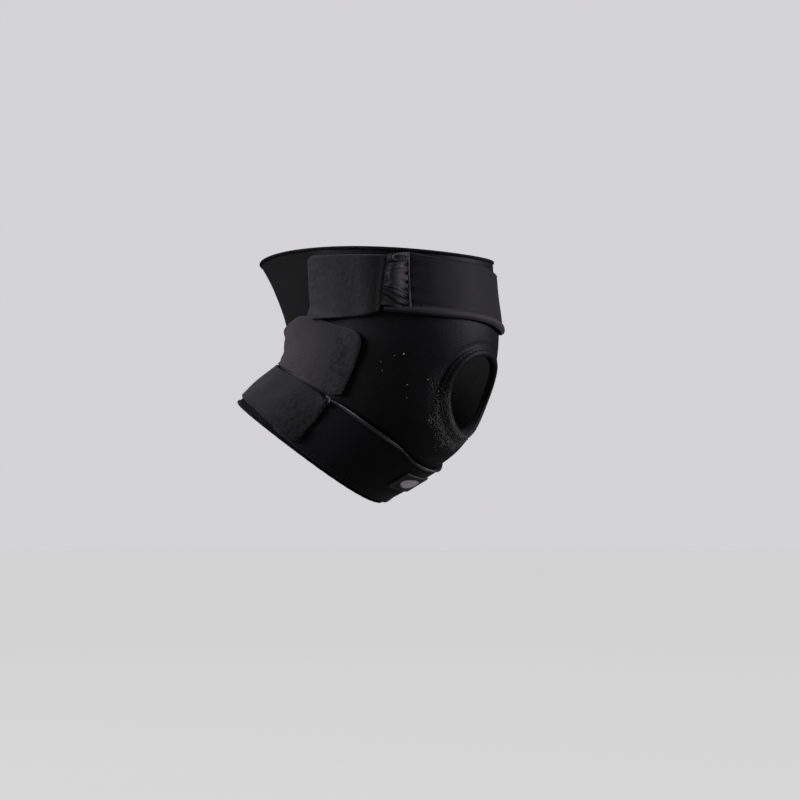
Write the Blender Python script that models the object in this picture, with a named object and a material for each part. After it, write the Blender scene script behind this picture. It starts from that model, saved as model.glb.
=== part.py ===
"""Neoprene knee brace in the bent shape that it has on a leg.

Every piece is laid out flat first, as an angle round the leg, a share of the way down it
and a height above the sleeve's outer face, and is then wrapped round the leg. The angle is
0 at the front, 90 on the outer side, 180 behind the knee and 270 on the inner side.

+Z runs up the thigh, the kneecap looks to -Y, the outer side of the leg is -X, and the
origin is the middle of the hollow that the knee fills. Lengths are in metres and angles
in degrees.
"""

import math
from collections import namedtuple

import bmesh
import bpy
import numpy as np
from mathutils import Vector

# The leg that the brace is bent round
LEG_DEPTH = 0.1668
LEG_WIDTH = 0.1220
BRACE_HEIGHT = 0.1244
SHIN_SETBACK = 0.0621
SHIN_SLOPE = 32.6
SHIN_LEAN = 10.4
RIM_BOW = 0.0046

# Cloth and neoprene
SLEEVE_WALL = 0.0030
STRAP_WALL = 0.0020
TAB_WALL = 0.0018
PATCH_WALL = 0.0014
LABEL_WALL = 0.0006
LAYER_GAP = 0.0003
BINDING_WIDTH = 0.0019

# Kneecap opening and the ring sewn round it
OPENING_WIDTH = 0.0450
OPENING_HEIGHT = 0.0500
OPENING_ANGLE = 2.5
OPENING_DOWN = 0.583
OPENING_LEAN = 2.5
RING_WIDTH = 0.0060
RING_WALL = 0.0007
RING_RISE = 0.0011

# Upper strap, its gathered patch and its tab
UPPER_STRAP_WIDTH = 0.0380
HEM_WIDTH = 0.0048
HEM_RISE = 0.0014
OUTER_SEAM_ANGLE = 49.3
UPPER_STRAP_SPREAD = 184.3
SEAM_GAP = 0.4
PATCH_SPREAD = 9.3
GATHER_RISE = 0.0013
GATHER_COUNT = 7
TAB_GAP = 2.0
UPPER_TAB_WIDTH = 0.0410
UPPER_TAB_SPREAD = 39.0

# Strap behind the knee, and the lower strap with its tab
MID_STRAP_WIDTH = 0.0420
MID_STRAP_START = 81.5
MID_STRAP_SPREAD = 173.5
LOWER_STRAP_WIDTH = 0.0500
LOWER_TAB_WIDTH = 0.0440
LOWER_TAB_START = 75.5
LOWER_TAB_SPREAD = 184.1
LOWER_LAP = 18.0
STRAP_CLEARANCE = 0.0020
LAP_MARGIN = 0.0015
LAP_RUN = 0.0060

# Bare patch on the front of the lower strap
LABEL_LENGTH = 0.0260
LABEL_HEIGHT = 0.0185
LABEL_ANGLE = 0.0
LABEL_DOWN = 0.897

# Fineness of the facets
AROUND_STEP = 6.7
SLEEVE_COLUMNS = 52
SLEEVE_ROWS = 20
STRAP_ROWS = 6
OPENING_SIDES = 36
EDGE_SAMPLES = 60

# Cross-sections of the leg at even steps from the upper rim to the lower one. The columns
# are shares of: SHIN_SETBACK, BRACE_HEIGHT, half of LEG_DEPTH, half of LEG_WIDTH,
# SHIN_SLOPE, SHIN_LEAN and RIM_BOW.
Section = namedtuple("Section", "setback height depth width slope lean bow")
SECTIONS = (
    Section(0.145, 0.624, 1.000, 1.000, 0.028, 0.000, 1.00),
    Section(0.069, 0.510, 0.954, 0.980, 0.061, 0.000, 0.87),
    Section(0.002, 0.395, 0.930, 0.959, 0.107, 0.010, 0.78),
    Section(-0.060, 0.269, 0.905, 0.938, 0.126, 0.020, 0.72),
    Section(-0.055, 0.121, 0.881, 0.931, 0.221, 0.067, 0.72),
    Section(0.047, -0.018, 0.862, 0.926, 0.399, 0.173, 0.72),
    Section(0.224, -0.145, 0.849, 0.902, 0.696, 0.375, 0.70),
    Section(0.570, -0.252, 0.796, 0.866, 0.871, 0.663, 0.65),
    Section(1.000, -0.376, 0.736, 0.820, 1.015, 1.000, 0.59),
)

# A rib is a line across a strap. Its columns are its share of the strap's spread, where its
# first edge lies, its length as a share of the strap's width, and how many degrees the far
# edge is turned from the first. "edge" is a share of the way down the leg for what hangs
# from its top edge, and counts STRAP_CLEARANCE up from the piece below for what stands on
# its lower edge.
Rib = namedtuple("Rib", "along edge breadth lean")
UPPER_STRAP_RIBS = (
    Rib(0.00, 0.023, 1.07, 4.7),
    Rib(0.08, 0.038, 1.03, 1.0),
    Rib(0.16, 0.040, 1.02, 0.0),
    Rib(0.24, 0.047, 1.03, -0.5),
    Rib(0.32, 0.070, 1.03, -4.0),
    Rib(0.48, 0.085, 1.00, -2.0),
    Rib(0.81, 0.068, 0.97, 0.0),
    Rib(1.00, 0.060, 0.97, 0.0),
)
PATCH_RIBS = (
    Rib(0.00, 0.025, 1.02, 4.7),
    Rib(0.50, 0.033, 0.96, 7.2),
    Rib(1.00, 0.042, 0.89, 9.6),
)
UPPER_TAB_RIBS = (
    Rib(0.00, 0.045, 0.92, 9.5),
    Rib(0.38, 0.046, 0.98, 5.0),
    Rib(0.72, 0.046, 1.00, 6.0),
    Rib(0.91, 0.045, 1.00, 9.0),
    Rib(1.00, 0.075, 0.89, 11.5),
)
MID_STRAP_RIBS = (
    Rib(0.000, 3.6, 0.86, -3.0),
    Rib(0.009, 2.3, 1.00, -2.0),
    Rib(0.032, 1.7, 1.04, 0.0),
    Rib(0.092, 0.9, 1.02, 1.5),
    Rib(0.161, 1.5, 0.94, 1.5),
    Rib(0.210, 1.4, 0.93, 0.0),
    Rib(0.262, 1.2, 0.92, 0.0),
    Rib(0.363, 1.0, 0.84, 0.0),
    Rib(0.568, 1.0, 0.68, 0.0),
    Rib(0.772, 1.0, 0.78, 0.0),
    Rib(0.873, 1.2, 0.85, 0.0),
    Rib(1.000, 1.0, 0.94, 0.0),
)
LOWER_TAB_RIBS = (
    Rib(0.000, 6.3, 0.93, 9.0),
    Rib(0.014, 2.6, 1.08, 9.0),
    Rib(0.079, 3.0, 1.05, 7.5),
    Rib(0.157, 3.0, 1.01, 3.5),
    Rib(0.220, 2.8, 0.98, 1.0),
    Rib(0.296, 2.5, 0.95, 0.0),
    Rib(0.568, 2.2, 0.93, 0.0),
    Rib(0.800, 2.2, 0.95, 0.0),
    Rib(1.000, 1.0, 1.00, 0.0),
)
LOWER_STRAP_RIBS = (
    Rib(0.000, 1.5, 0.85, 3.0),
    Rib(0.045, 1.0, 0.99, 0.0),
    Rib(0.110, 1.0, 1.03, 0.0),
    Rib(0.180, 1.0, 1.03, 0.0),
    Rib(0.275, 1.0, 1.02, 0.0),
    Rib(0.335, 1.0, 0.97, 0.0),
    Rib(0.385, 1.0, 0.92, 0.0),
    Rib(0.500, 1.0, 0.91, 0.0),
    Rib(0.620, 1.0, 0.95, 0.0),
    Rib(0.740, 1.0, 1.00, 0.0),
    Rib(1.000, 1.0, 0.88, 0.0),
)
HEM_SHARES = (0.25, 0.6, 1.0)

Finish = namedtuple("Finish", "red green blue roughness")
NEOPRENE = Finish(0.010, 0.009, 0.012, 0.62)
STRAP_NYLON = Finish(0.013, 0.012, 0.014, 0.55)
TAB_PILE = Finish(0.028, 0.028, 0.030, 0.85)
KNIT = Finish(0.045, 0.042, 0.050, 0.90)
BINDING_TAPE = Finish(0.018, 0.017, 0.018, 0.70)
LABEL_RUBBER = Finish(0.035, 0.034, 0.036, 0.50)


def bend_of(values):
    """Second derivatives of the natural cubic through evenly spaced values."""
    count = len(values)
    matrix = np.eye(count)
    target = np.zeros(count)
    for i in range(1, count - 1):
        matrix[i, i - 1 : i + 2] = 1, 4, 1
        target[i] = 6 * (values[i - 1] - 2 * values[i] + values[i + 1])
    return np.linalg.solve(matrix, target)


SECTION_VALUES = np.array(SECTIONS)
SECTION_BENDS = np.stack([bend_of(column) for column in SECTION_VALUES.T], axis=1)


def section_at(down):
    """The cross-section at a share of the way down, as a Section."""
    place = down * (len(SECTIONS) - 1)
    i = min(max(int(place), 0), len(SECTIONS) - 2)
    after = place - i
    before = 1 - after
    values = before * SECTION_VALUES[i] + after * SECTION_VALUES[i + 1]
    values += (before**3 - before) * SECTION_BENDS[i] / 6
    values += (after**3 - after) * SECTION_BENDS[i + 1] / 6
    return Section(*values.tolist())


def on_sleeve(angle, down):
    """A point of the sleeve's outer face."""
    section = section_at(down)
    turn = math.radians(angle)
    slope = math.radians(section.slope * SHIN_SLOPE)
    lean = math.radians(section.lean * SHIN_LEAN)
    forward = Vector((0, -math.cos(slope), -math.sin(slope)))
    upward = Vector((0, -math.sin(slope), math.cos(slope)))
    sideways = math.cos(lean) * Vector((-1, 0, 0)) + math.sin(lean) * upward
    centre = Vector((0, section.setback * SHIN_SETBACK, section.height * BRACE_HEIGHT))
    depth = section.depth * LEG_DEPTH / 2 * math.cos(turn)
    width = section.width * LEG_WIDTH / 2 * math.sin(turn)
    bow = section.bow * RIM_BOW * math.sin(turn) ** 2
    return centre + depth * forward + width * sideways + bow * upward


def runs_at(angle, down):
    """How the sleeve's face runs at a point: metres a degree, and metres a share down."""
    turn, step = 0.5, 0.002
    round_leg = (on_sleeve(angle + turn, down) - on_sleeve(angle - turn, down)) / (2 * turn)
    down_leg = (on_sleeve(angle, down + step) - on_sleeve(angle, down - step)) / (2 * step)
    return round_leg, down_leg


def wrapped(angle, down, height):
    """A point at a height over the sleeve's outer face."""
    round_leg, down_leg = runs_at(angle, down)
    return on_sleeve(angle, down) + height * round_leg.cross(down_leg).normalized()


def share_of(length, angle, down):
    """The share of the way down that a length covers at a point."""
    return length / runs_at(angle, down)[1].length


def degrees_of(length, angle, down):
    """The angle that a length round the leg covers at a point."""
    return length / runs_at(angle, down)[0].length


def eased(rows, share):
    """The row at a share of the first column, on a curve that never overshoots the rows."""
    values = np.array(rows, float)
    i = int(np.clip(np.searchsorted(values[:, 0], share, side="right") - 1, 0, len(rows) - 2))
    slopes = np.diff(values, axis=0) / np.diff(values[:, 0])[:, None]
    tangents = []
    for k in (i, i + 1):
        if k in (0, len(rows) - 1):
            tangents.append(slopes[min(k, len(rows) - 2)])
            continue
        first, second = slopes[k - 1], slopes[k]
        same_way = first * second > 0
        smaller = np.minimum(np.abs(first), np.abs(second)) * np.sign(first)
        mean = (first + second) / 2
        limited = np.where(np.abs(mean) > 2 * np.abs(smaller), 2 * smaller, mean)
        tangents.append(np.where(same_way, limited, 0))
    span = values[i + 1, 0] - values[i, 0]
    t = (share - values[i, 0]) / span
    result = values[i] * (2 * t**3 - 3 * t**2 + 1) + values[i + 1] * (3 * t**2 - 2 * t**3)
    result += span * (tangents[0] * (t**3 - 2 * t**2 + t) + tangents[1] * (t**3 - t**2))
    return type(rows[0])(*result.tolist())


def rising(value, start, end):
    """0 before start, 1 after end, and smooth between them."""
    share = min(max((value - start) / (end - start), 0), 1)
    return share * share * (3 - 2 * share)


def material_of(name, finish):
    material = bpy.data.materials.new(name)
    material.use_nodes = True
    shader = material.node_tree.nodes["Principled BSDF"]
    shader.inputs["Base Color"].default_value = (finish.red, finish.green, finish.blue, 1)
    shader.inputs["Roughness"].default_value = finish.roughness
    shader.inputs["Metallic"].default_value = 0
    return material


def add_object(name, bm, finish):
    bmesh.ops.recalc_face_normals(bm, faces=bm.faces[:])
    mesh = bpy.data.meshes.new(name)
    bm.to_mesh(mesh)
    bm.free()
    mesh.shade_smooth()
    mesh.set_sharp_from_angle(angle=math.radians(40))
    obj = bpy.data.objects.new(name, mesh)
    bpy.context.scene.collection.objects.link(obj)
    if finish:
        mesh.materials.append(material_of(name, finish))
    return obj


def wall(name, finish, lines, closed):
    """A wall on the leg: each line across it is a list of (angle, down, inner, outer)."""
    bm = bmesh.new()
    outer = [[bm.verts.new(wrapped(a, d, high)) for a, d, low, high in line] for line in lines]
    inner = [[bm.verts.new(wrapped(a, d, low)) for a, d, low, high in line] for line in lines]
    last = len(lines[0]) - 1
    for i in range(len(lines) if closed else len(lines) - 1):
        k = (i + 1) % len(lines)
        for j in range(last):
            bm.faces.new((outer[i][j], outer[i][j + 1], outer[k][j + 1], outer[k][j]))
            bm.faces.new((inner[i][j], inner[k][j], inner[k][j + 1], inner[i][j + 1]))
        for j in (0, last):
            bm.faces.new((outer[i][j], outer[k][j], inner[k][j], inner[i][j]))
    for i in () if closed else (0, len(lines) - 1):
        for j in range(last):
            bm.faces.new((outer[i][j], outer[i][j + 1], inner[i][j + 1], inner[i][j]))
    return add_object(name, bm, finish)


def hung_rib(ribs, along, start, spread, width):
    """Ends of a rib that hangs down from its edge, as (angle, down) twice."""
    rib = eased(ribs, along)
    angle = start + along * spread
    length = rib.breadth * width
    middle = rib.edge + share_of(length / 2, angle, rib.edge)
    drop = share_of(length, angle + rib.lean / 2, middle)
    return (angle, rib.edge), (angle + rib.lean, rib.edge + drop)


def standing_rib(ribs, along, start, spread, width, floor):
    """Ends of a rib that stands on the floor below it, upper end first."""
    rib = eased(ribs, along)
    angle = start + along * spread
    foot = floor(angle) - share_of(rib.edge * STRAP_CLEARANCE, angle, floor(angle))
    length = rib.breadth * width
    middle = foot - share_of(length / 2, angle, foot)
    rise = share_of(length, angle + rib.lean / 2, middle)
    return (angle + rib.lean, foot - rise), (angle, foot)


def alongs(spread, ribs):
    """Shares along a strap: even steps, and the strap's own ribs near its ends."""
    steps = max(3, round(abs(spread) / AROUND_STEP))
    ends = [rib.along for rib in ribs if min(rib.along, 1 - rib.along) < 1.5 / steps]
    even = [i / steps for i in range(steps + 1)]
    kept = [share for share in even if min(abs(end - share) for end in ends) > 0.3 / steps]
    return sorted(ends + kept)


def across(line, share):
    """The point at a share of the way from a rib's upper end to its lower end."""
    (angle, down), (angle_end, down_end) = line
    return angle + share * (angle_end - angle), down + share * (down_end - down)


def upper_edge():
    """The share of the way down where the sleeve starts, under its upper binding."""
    return share_of(BINDING_WIDTH, 0, 0)


def lower_edge(angle):
    """The share of the way down where the sleeve ends, over its lower binding."""
    return 1 - share_of(BINDING_WIDTH, angle, 1)


def lower_tab_line(along):
    spread = LOWER_TAB_SPREAD
    return standing_rib(
        LOWER_TAB_RIBS, along, LOWER_TAB_START, spread, LOWER_TAB_WIDTH, lower_edge
    )


def lower_tab_top(angle):
    """The lower tab's upper edge over an angle."""
    shares = np.linspace(0, 1, EDGE_SAMPLES)
    tops = [lower_tab_line(share)[0] for share in shares]
    return float(np.interp(angle, [top[0] for top in tops], [top[1] for top in tops]))


def mid_strap_line(along):
    return standing_rib(
        MID_STRAP_RIBS, along, MID_STRAP_START, MID_STRAP_SPREAD, MID_STRAP_WIDTH, lower_tab_top
    )


def lower_strap_line(along):
    start = LOWER_TAB_START + LOWER_LAP
    end = LOWER_TAB_START + LOWER_TAB_SPREAD + SEAM_GAP - 360
    return standing_rib(
        LOWER_STRAP_RIBS, along, start, end - start, LOWER_STRAP_WIDTH, lower_edge
    )


def make_sleeve():
    """The tube, with the kneecap opening cut through its front."""
    lines = []
    for i in range(SLEEVE_COLUMNS):
        angle = 360 * i / SLEEVE_COLUMNS
        top, bottom = upper_edge(), lower_edge(angle)
        downs = [top + (bottom - top) * j / SLEEVE_ROWS for j in range(SLEEVE_ROWS + 1)]
        lines.append([(angle, down, -SLEEVE_WALL, 0) for down in downs])
    sleeve = wall("sleeve_body", NEOPRENE, lines, closed=True)
    cutter = make_opening_cutter()
    cut = sleeve.modifiers.new("kneecap_opening", "BOOLEAN")
    cut.operation = "DIFFERENCE"
    cut.solver = "EXACT"
    cut.object = cutter


def on_oval(turn, grown):
    """A point round the kneecap opening, grown outwards by a length."""
    half_angle = degrees_of(OPENING_WIDTH / 2 + grown, OPENING_ANGLE, OPENING_DOWN)
    half_down = share_of(OPENING_HEIGHT / 2 + grown, OPENING_ANGLE, OPENING_DOWN)
    angle = OPENING_ANGLE + half_angle * math.sin(turn) + OPENING_LEAN * math.cos(turn)
    return angle, OPENING_DOWN - half_down * math.cos(turn)


def make_opening_cutter():
    """An oval plug that reaches through the sleeve's wall and past both its faces."""
    reach = 4 * SLEEVE_WALL
    bm = bmesh.new()
    bmesh.ops.create_circle(bm, cap_ends=True, segments=OPENING_SIDES, radius=1)
    grown = bmesh.ops.extrude_face_region(bm, geom=bm.faces[:])["geom"]
    raised = {item for item in grown if isinstance(item, bmesh.types.BMVert)}
    for vert in bm.verts:
        turn = math.atan2(vert.co.x, vert.co.y)
        angle, down = on_oval(turn, 0)
        vert.co = wrapped(angle, down, reach if vert in raised else -reach)
    cutter = add_object("opening_cutter", bm, None)
    cutter.hide_render = True
    cutter.display_type = "WIRE"
    return cutter


def make_patella_ring():
    """A low padded ring round the opening, highest in the middle of its width."""
    rises = (0.35, 0.85, 1.0, 0.8, 0.3)
    lines = []
    for i in range(OPENING_SIDES):
        turn = 2 * math.pi * i / OPENING_SIDES
        line = []
        for j, rise in enumerate(rises):
            grown = 2 * LAYER_GAP + RING_WIDTH * j / (len(rises) - 1)
            angle, down = on_oval(turn, grown)
            line.append((angle, down, LAYER_GAP, LAYER_GAP + RING_WALL + rise * RING_RISE))
        lines.append(line)
    wall("patella_ring", NEOPRENE, lines, closed=True)


def make_bindings():
    """A strip along each rim, end to end with the sleeve's wall."""
    upper, lower = [], []
    for i in range(SLEEVE_COLUMNS):
        angle = 360 * i / SLEEVE_COLUMNS
        gap = share_of(LAYER_GAP, angle, 0)
        ends = (0, upper_edge() - gap)
        upper.append([(angle, down, -SLEEVE_WALL, 0) for down in ends])
        gap = share_of(LAYER_GAP, angle, 1)
        ends = (lower_edge(angle) + gap, 1)
        lower.append([(angle, down, -SLEEVE_WALL, 0) for down in ends])
    wall("upper_binding", BINDING_TAPE, upper, closed=True)
    wall("lower_binding", BINDING_TAPE, lower, closed=True)


def make_upper_strap():
    """The front of the upper strap, with a rolled hem along its lower edge."""
    hem = HEM_WIDTH / UPPER_STRAP_WIDTH
    shares = [(1 - hem) * j / STRAP_ROWS for j in range(STRAP_ROWS + 1)]
    shares += [1 - hem + hem * share for share in HEM_SHARES]
    lines = []
    for along in alongs(UPPER_STRAP_SPREAD, UPPER_STRAP_RIBS):
        rib = hung_rib(
            UPPER_STRAP_RIBS, along, OUTER_SEAM_ANGLE, -UPPER_STRAP_SPREAD, UPPER_STRAP_WIDTH
        )
        line = []
        for share in shares:
            in_hem = min(max((share - 1 + hem) / hem, 0), 1)
            rise = HEM_RISE * math.sin(math.pi * (0.15 + 0.7 * in_hem)) if in_hem > 0 else 0
            line.append((*across(rib, share), LAYER_GAP, LAYER_GAP + STRAP_WALL + rise))
        lines.append(line)
    wall("upper_strap", STRAP_NYLON, lines, closed=False)


def make_gathered_patch():
    """The short gathered length between the upper strap's seam and its tab."""
    columns, rows = 8, 3 * GATHER_COUNT
    lines = []
    for i in range(columns + 1):
        along = i / columns
        rib = hung_rib(
            PATCH_RIBS, along, OUTER_SEAM_ANGLE + SEAM_GAP, PATCH_SPREAD, UPPER_STRAP_WIDTH
        )
        swell = math.sin(math.pi * along) ** 0.5 if 0 < along < 1 else 0
        line = []
        for j in range(rows + 1):
            wave = 0.5 - 0.5 * math.cos(2 * math.pi * (j + 1.2 * along) / 3)
            height = PATCH_WALL + GATHER_RISE * swell * (0.35 + 0.65 * wave)
            line.append((*across(rib, j / rows), LAYER_GAP, LAYER_GAP + height))
        lines.append(line)
    wall("gathered_patch", STRAP_NYLON, lines, closed=False)


def make_upper_tab():
    """The upper strap's tab, which climbs over the strap behind the knee."""
    tops = [mid_strap_line(share)[0] for share in np.linspace(0, 0.5, EDGE_SAMPLES)]
    top_angles = [top[0] for top in tops]
    top_downs = [top[1] for top in tops]
    start = OUTER_SEAM_ANGLE + SEAM_GAP + PATCH_SPREAD + TAB_GAP
    rows = 2 * STRAP_ROWS
    lines = []
    for along in alongs(UPPER_TAB_SPREAD, UPPER_TAB_RIBS):
        rib = hung_rib(UPPER_TAB_RIBS, along, start, UPPER_TAB_SPREAD, UPPER_TAB_WIDTH)
        line = []
        for j in range(rows + 1):
            angle, down = across(rib, j / rows)
            climbed = float(np.interp(angle, top_angles, top_downs, left=1))
            climbed -= share_of(LAP_MARGIN, angle, down)
            lap = rising(down, climbed - share_of(LAP_RUN, angle, down), climbed)
            low = LAYER_GAP + lap * (STRAP_WALL + LAYER_GAP)
            line.append((angle, down, low, low + TAB_WALL))
        lines.append(line)
    wall("upper_tab", TAB_PILE, lines, closed=False)


def strap_wall(name, finish, ribs, spread, line_at, thickness, low_at=None):
    """A strap of one thickness, with its underside at low_at(angle)."""
    lines = []
    for along in alongs(spread, ribs):
        rib = line_at(along)
        line = []
        for j in range(STRAP_ROWS + 1):
            angle, down = across(rib, j / STRAP_ROWS)
            low = low_at(angle) if low_at else LAYER_GAP
            line.append((angle, down, low, low + thickness))
        lines.append(line)
    wall(name, finish, lines, closed=False)


def make_mid_strap():
    strap_wall("mid_strap", KNIT, MID_STRAP_RIBS, MID_STRAP_SPREAD, mid_strap_line, STRAP_WALL)


def make_lower_strap():
    spread = 360 - LOWER_TAB_SPREAD + LOWER_LAP
    strap_wall(
        "lower_strap", STRAP_NYLON, LOWER_STRAP_RIBS, spread, lower_strap_line, STRAP_WALL
    )


def lower_tab_low(angle):
    """Underside of the lower tab: over the lower strap's end, then down onto the sleeve."""
    strap_end = LOWER_TAB_START + LOWER_LAP + LOWER_STRAP_RIBS[0].lean
    margin = degrees_of(LAP_MARGIN, strap_end, 1)
    run = degrees_of(LAP_RUN, strap_end, 1)
    lap = 1 - rising(angle, strap_end + margin, strap_end + margin + run)
    return LAYER_GAP + lap * (STRAP_WALL + LAYER_GAP)


def make_lower_tab():
    strap_wall(
        "lower_tab",
        TAB_PILE,
        LOWER_TAB_RIBS,
        LOWER_TAB_SPREAD,
        lower_tab_line,
        TAB_WALL,
        lower_tab_low,
    )


def make_label():
    """A bare patch on the front of the lower strap."""
    low = STRAP_WALL + 2 * LAYER_GAP
    half_angle = degrees_of(LABEL_LENGTH / 2, LABEL_ANGLE, LABEL_DOWN)
    half_down = share_of(LABEL_HEIGHT / 2, LABEL_ANGLE, LABEL_DOWN)
    steps = 4
    lines = []
    for i in range(steps + 1):
        angle = LABEL_ANGLE + half_angle * (1 - 2 * i / steps)
        downs = [LABEL_DOWN + half_down * (2 * j / steps - 1) for j in range(steps + 1)]
        lines.append([(angle, down, low, low + LABEL_WALL) for down in downs])
    wall("label_patch", LABEL_RUBBER, lines, closed=False)


def main():
    for obj in list(bpy.data.objects):
        bpy.data.objects.remove(obj, do_unlink=True)
    make_sleeve()
    make_patella_ring()
    make_bindings()
    make_upper_strap()
    make_gathered_patch()
    make_upper_tab()
    make_mid_strap()
    make_lower_strap()
    make_lower_tab()
    make_label()


main()
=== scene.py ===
import math
import random

import bmesh
import bpy
import numpy as np
from mathutils import Matrix, Vector


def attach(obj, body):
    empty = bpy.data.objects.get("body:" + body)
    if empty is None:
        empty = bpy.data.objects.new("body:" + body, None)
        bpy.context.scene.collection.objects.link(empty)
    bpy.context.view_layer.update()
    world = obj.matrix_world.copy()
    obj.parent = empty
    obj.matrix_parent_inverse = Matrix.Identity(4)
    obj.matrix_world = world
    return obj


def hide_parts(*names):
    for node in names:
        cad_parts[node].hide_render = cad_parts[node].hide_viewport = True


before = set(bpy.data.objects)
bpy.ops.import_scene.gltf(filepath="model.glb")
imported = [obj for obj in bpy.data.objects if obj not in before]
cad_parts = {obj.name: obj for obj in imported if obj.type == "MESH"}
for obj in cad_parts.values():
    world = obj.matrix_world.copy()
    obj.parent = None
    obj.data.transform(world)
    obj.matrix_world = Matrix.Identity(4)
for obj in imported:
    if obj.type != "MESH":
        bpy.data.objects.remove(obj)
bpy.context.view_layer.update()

# The bent leg that every piece is laid on. Its sections run from the upper rim to the lower
# one: setback, height, depth, width, slope, lean and bow, each a share of the size above it.
leg = {
    "depth": 0.1668,
    "width": 0.1220,
    "height": 0.1244,
    "setback": 0.0621,
    "slope": 32.6,
    "lean": 10.4,
    "rimBow": 0.0046,
    "sections": [
        (0.145, 0.624, 1.000, 1.000, 0.028, 0.000, 1.00),
        (0.069, 0.510, 0.954, 0.980, 0.061, 0.000, 0.87),
        (0.002, 0.395, 0.930, 0.959, 0.107, 0.010, 0.78),
        (-0.060, 0.269, 0.905, 0.938, 0.126, 0.020, 0.72),
        (-0.055, 0.121, 0.881, 0.931, 0.221, 0.067, 0.72),
        (0.047, -0.018, 0.862, 0.926, 0.399, 0.173, 0.72),
        (0.224, -0.145, 0.849, 0.902, 0.696, 0.375, 0.70),
        (0.570, -0.252, 0.796, 0.866, 0.871, 0.663, 0.65),
        (1.000, -0.376, 0.736, 0.820, 1.015, 1.000, 0.59),
    ],
}


def cubicBends(values):
    count = len(values)
    matrix, target = np.eye(count), np.zeros(count)
    for i in range(1, count - 1):
        matrix[i, i - 1 : i + 2] = 1, 4, 1
        target[i] = 6 * (values[i - 1] - 2 * values[i] + values[i + 1])
    return np.linalg.solve(matrix, target)


sectionTable = np.array(leg["sections"])
sectionBends = np.stack([cubicBends(column) for column in sectionTable.T], axis=1)


# Angle runs round the leg in degrees from its front; down, from 0 at the upper rim to 1
def onSleeve(angle, down):
    place = down * (len(sectionTable) - 1)
    i = np.clip(place.astype(int), 0, len(sectionTable) - 2)
    after = (place - i)[:, None]
    before = 1 - after
    values = before * sectionTable[i] + after * sectionTable[i + 1]
    values += (before**3 - before) * sectionBends[i] / 6
    values += (after**3 - after) * sectionBends[i + 1] / 6
    setback, height, depth, width, slope, lean, bow = values.T
    slope, lean = np.radians(slope * leg["slope"]), np.radians(lean * leg["lean"])
    turn = np.radians(angle)
    zero = np.zeros_like(turn)
    forward = np.stack([zero, -np.cos(slope), -np.sin(slope)], axis=1)
    upward = np.stack([zero, -np.sin(slope), np.cos(slope)], axis=1)
    sideways = np.sin(lean)[:, None] * upward
    sideways[:, 0] -= np.cos(lean)
    point = np.stack([zero, setback * leg["setback"], height * leg["height"]], axis=1)
    point += (depth * leg["depth"] / 2 * np.cos(turn))[:, None] * forward
    point += (width * leg["width"] / 2 * np.sin(turn))[:, None] * sideways
    return point + (bow * leg["rimBow"] * np.sin(turn) ** 2)[:, None] * upward


# Metres a degree round the leg, and metres from rim to rim down it
def runsAt(angle, down):
    roundLeg = onSleeve(angle + 0.5, down) - onSleeve(angle - 0.5, down)
    downLeg = (onSleeve(angle, down + 0.002) - onSleeve(angle, down - 0.002)) / 0.004
    return roundLeg, downLeg


# Points at a height above the sleeve's face, and the way outward at each
def pathOnLeg(angle, down, height):
    angle, down = np.broadcast_arrays(np.asarray(angle, float), np.asarray(down, float))
    outward = np.cross(*runsAt(angle, down))
    outward /= np.linalg.norm(outward, axis=1)[:, None]
    return onSleeve(angle, down) + np.reshape(height, (-1, 1)) * outward, outward


# Metres down the leg as a share of its length there, and metres round it as degrees
def shareOf(length, angle, down):
    angle, down = np.broadcast_arrays(np.asarray(angle, float), np.asarray(down, float))
    return length / np.linalg.norm(runsAt(angle.ravel(), down.ravel())[1], axis=1)


def degreesOf(length, angle, down):
    return length / np.linalg.norm(runsAt(np.array([angle]), np.array([down]))[0], axis=1)[0]


# A curve through rows of numbers that never overshoots them; the first column is the place
def flowing(rows, place):
    values = np.array(rows, float)
    slopes = np.diff(values, axis=0) / np.diff(values[:, 0])[:, None]
    first, second = slopes[:-1], slopes[1:]
    smaller = np.minimum(np.abs(first), np.abs(second)) * np.sign(first)
    mean = (first + second) / 2
    limited = np.where(np.abs(mean) > 2 * np.abs(smaller), 2 * smaller, mean)
    inner = np.where(first * second > 0, limited, 0)
    tangents = np.vstack([slopes[:1], inner, slopes[-1:]])
    i = np.clip(np.searchsorted(values[:, 0], place, side="right") - 1, 0, len(values) - 2)
    span = (values[i + 1, 0] - values[i, 0])[:, None]
    t = (place[:, None] - values[i, :1]) / span
    result = values[i] * (2 * t**3 - 3 * t**2 + 1) + values[i + 1] * (3 * t**2 - 2 * t**3)
    result += span * (tangents[i] * (t**3 - 2 * t**2 + t) + tangents[i + 1] * (t**3 - t**2))
    return result[:, 1:]


# Rises from 0 at start to 1 at end, and falls where end is the lower of the two
def smoothStep(value, start, end):
    share = np.clip((value - start) / (end - start), 0, 1)
    return share * share * (3 - 2 * share)


def bell(value, centre, width):
    return np.exp(-(((value - centre) / width) ** 2))


# A wave with flatter crests, for sections that are fuller than an oval
def fuller(wave, power):
    return np.sign(wave) * np.abs(wave) ** power


# Slow random swells over a cloth, from -1 to 1: size is their usual width in metres
def swells(x, y, size, seed, count=14):
    chance = random.Random(seed)
    total = np.zeros_like(x)
    for _ in range(count):
        way, pitch = chance.uniform(0, 2 * math.pi), size * chance.uniform(0.7, 1.8)
        wave = (x * math.cos(way) + y * math.sin(way)) * 2 * math.pi / pitch
        total += np.sin(wave + chance.uniform(0, 2 * math.pi))
    return total / math.sqrt(2 * count)


# How far a rounded edge drops at a distance in from it
def edgeDrop(distance, radius):
    share = np.clip(1 - distance / radius, 0, 1)
    return radius * (1 - np.sqrt(1 - share**2))


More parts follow.
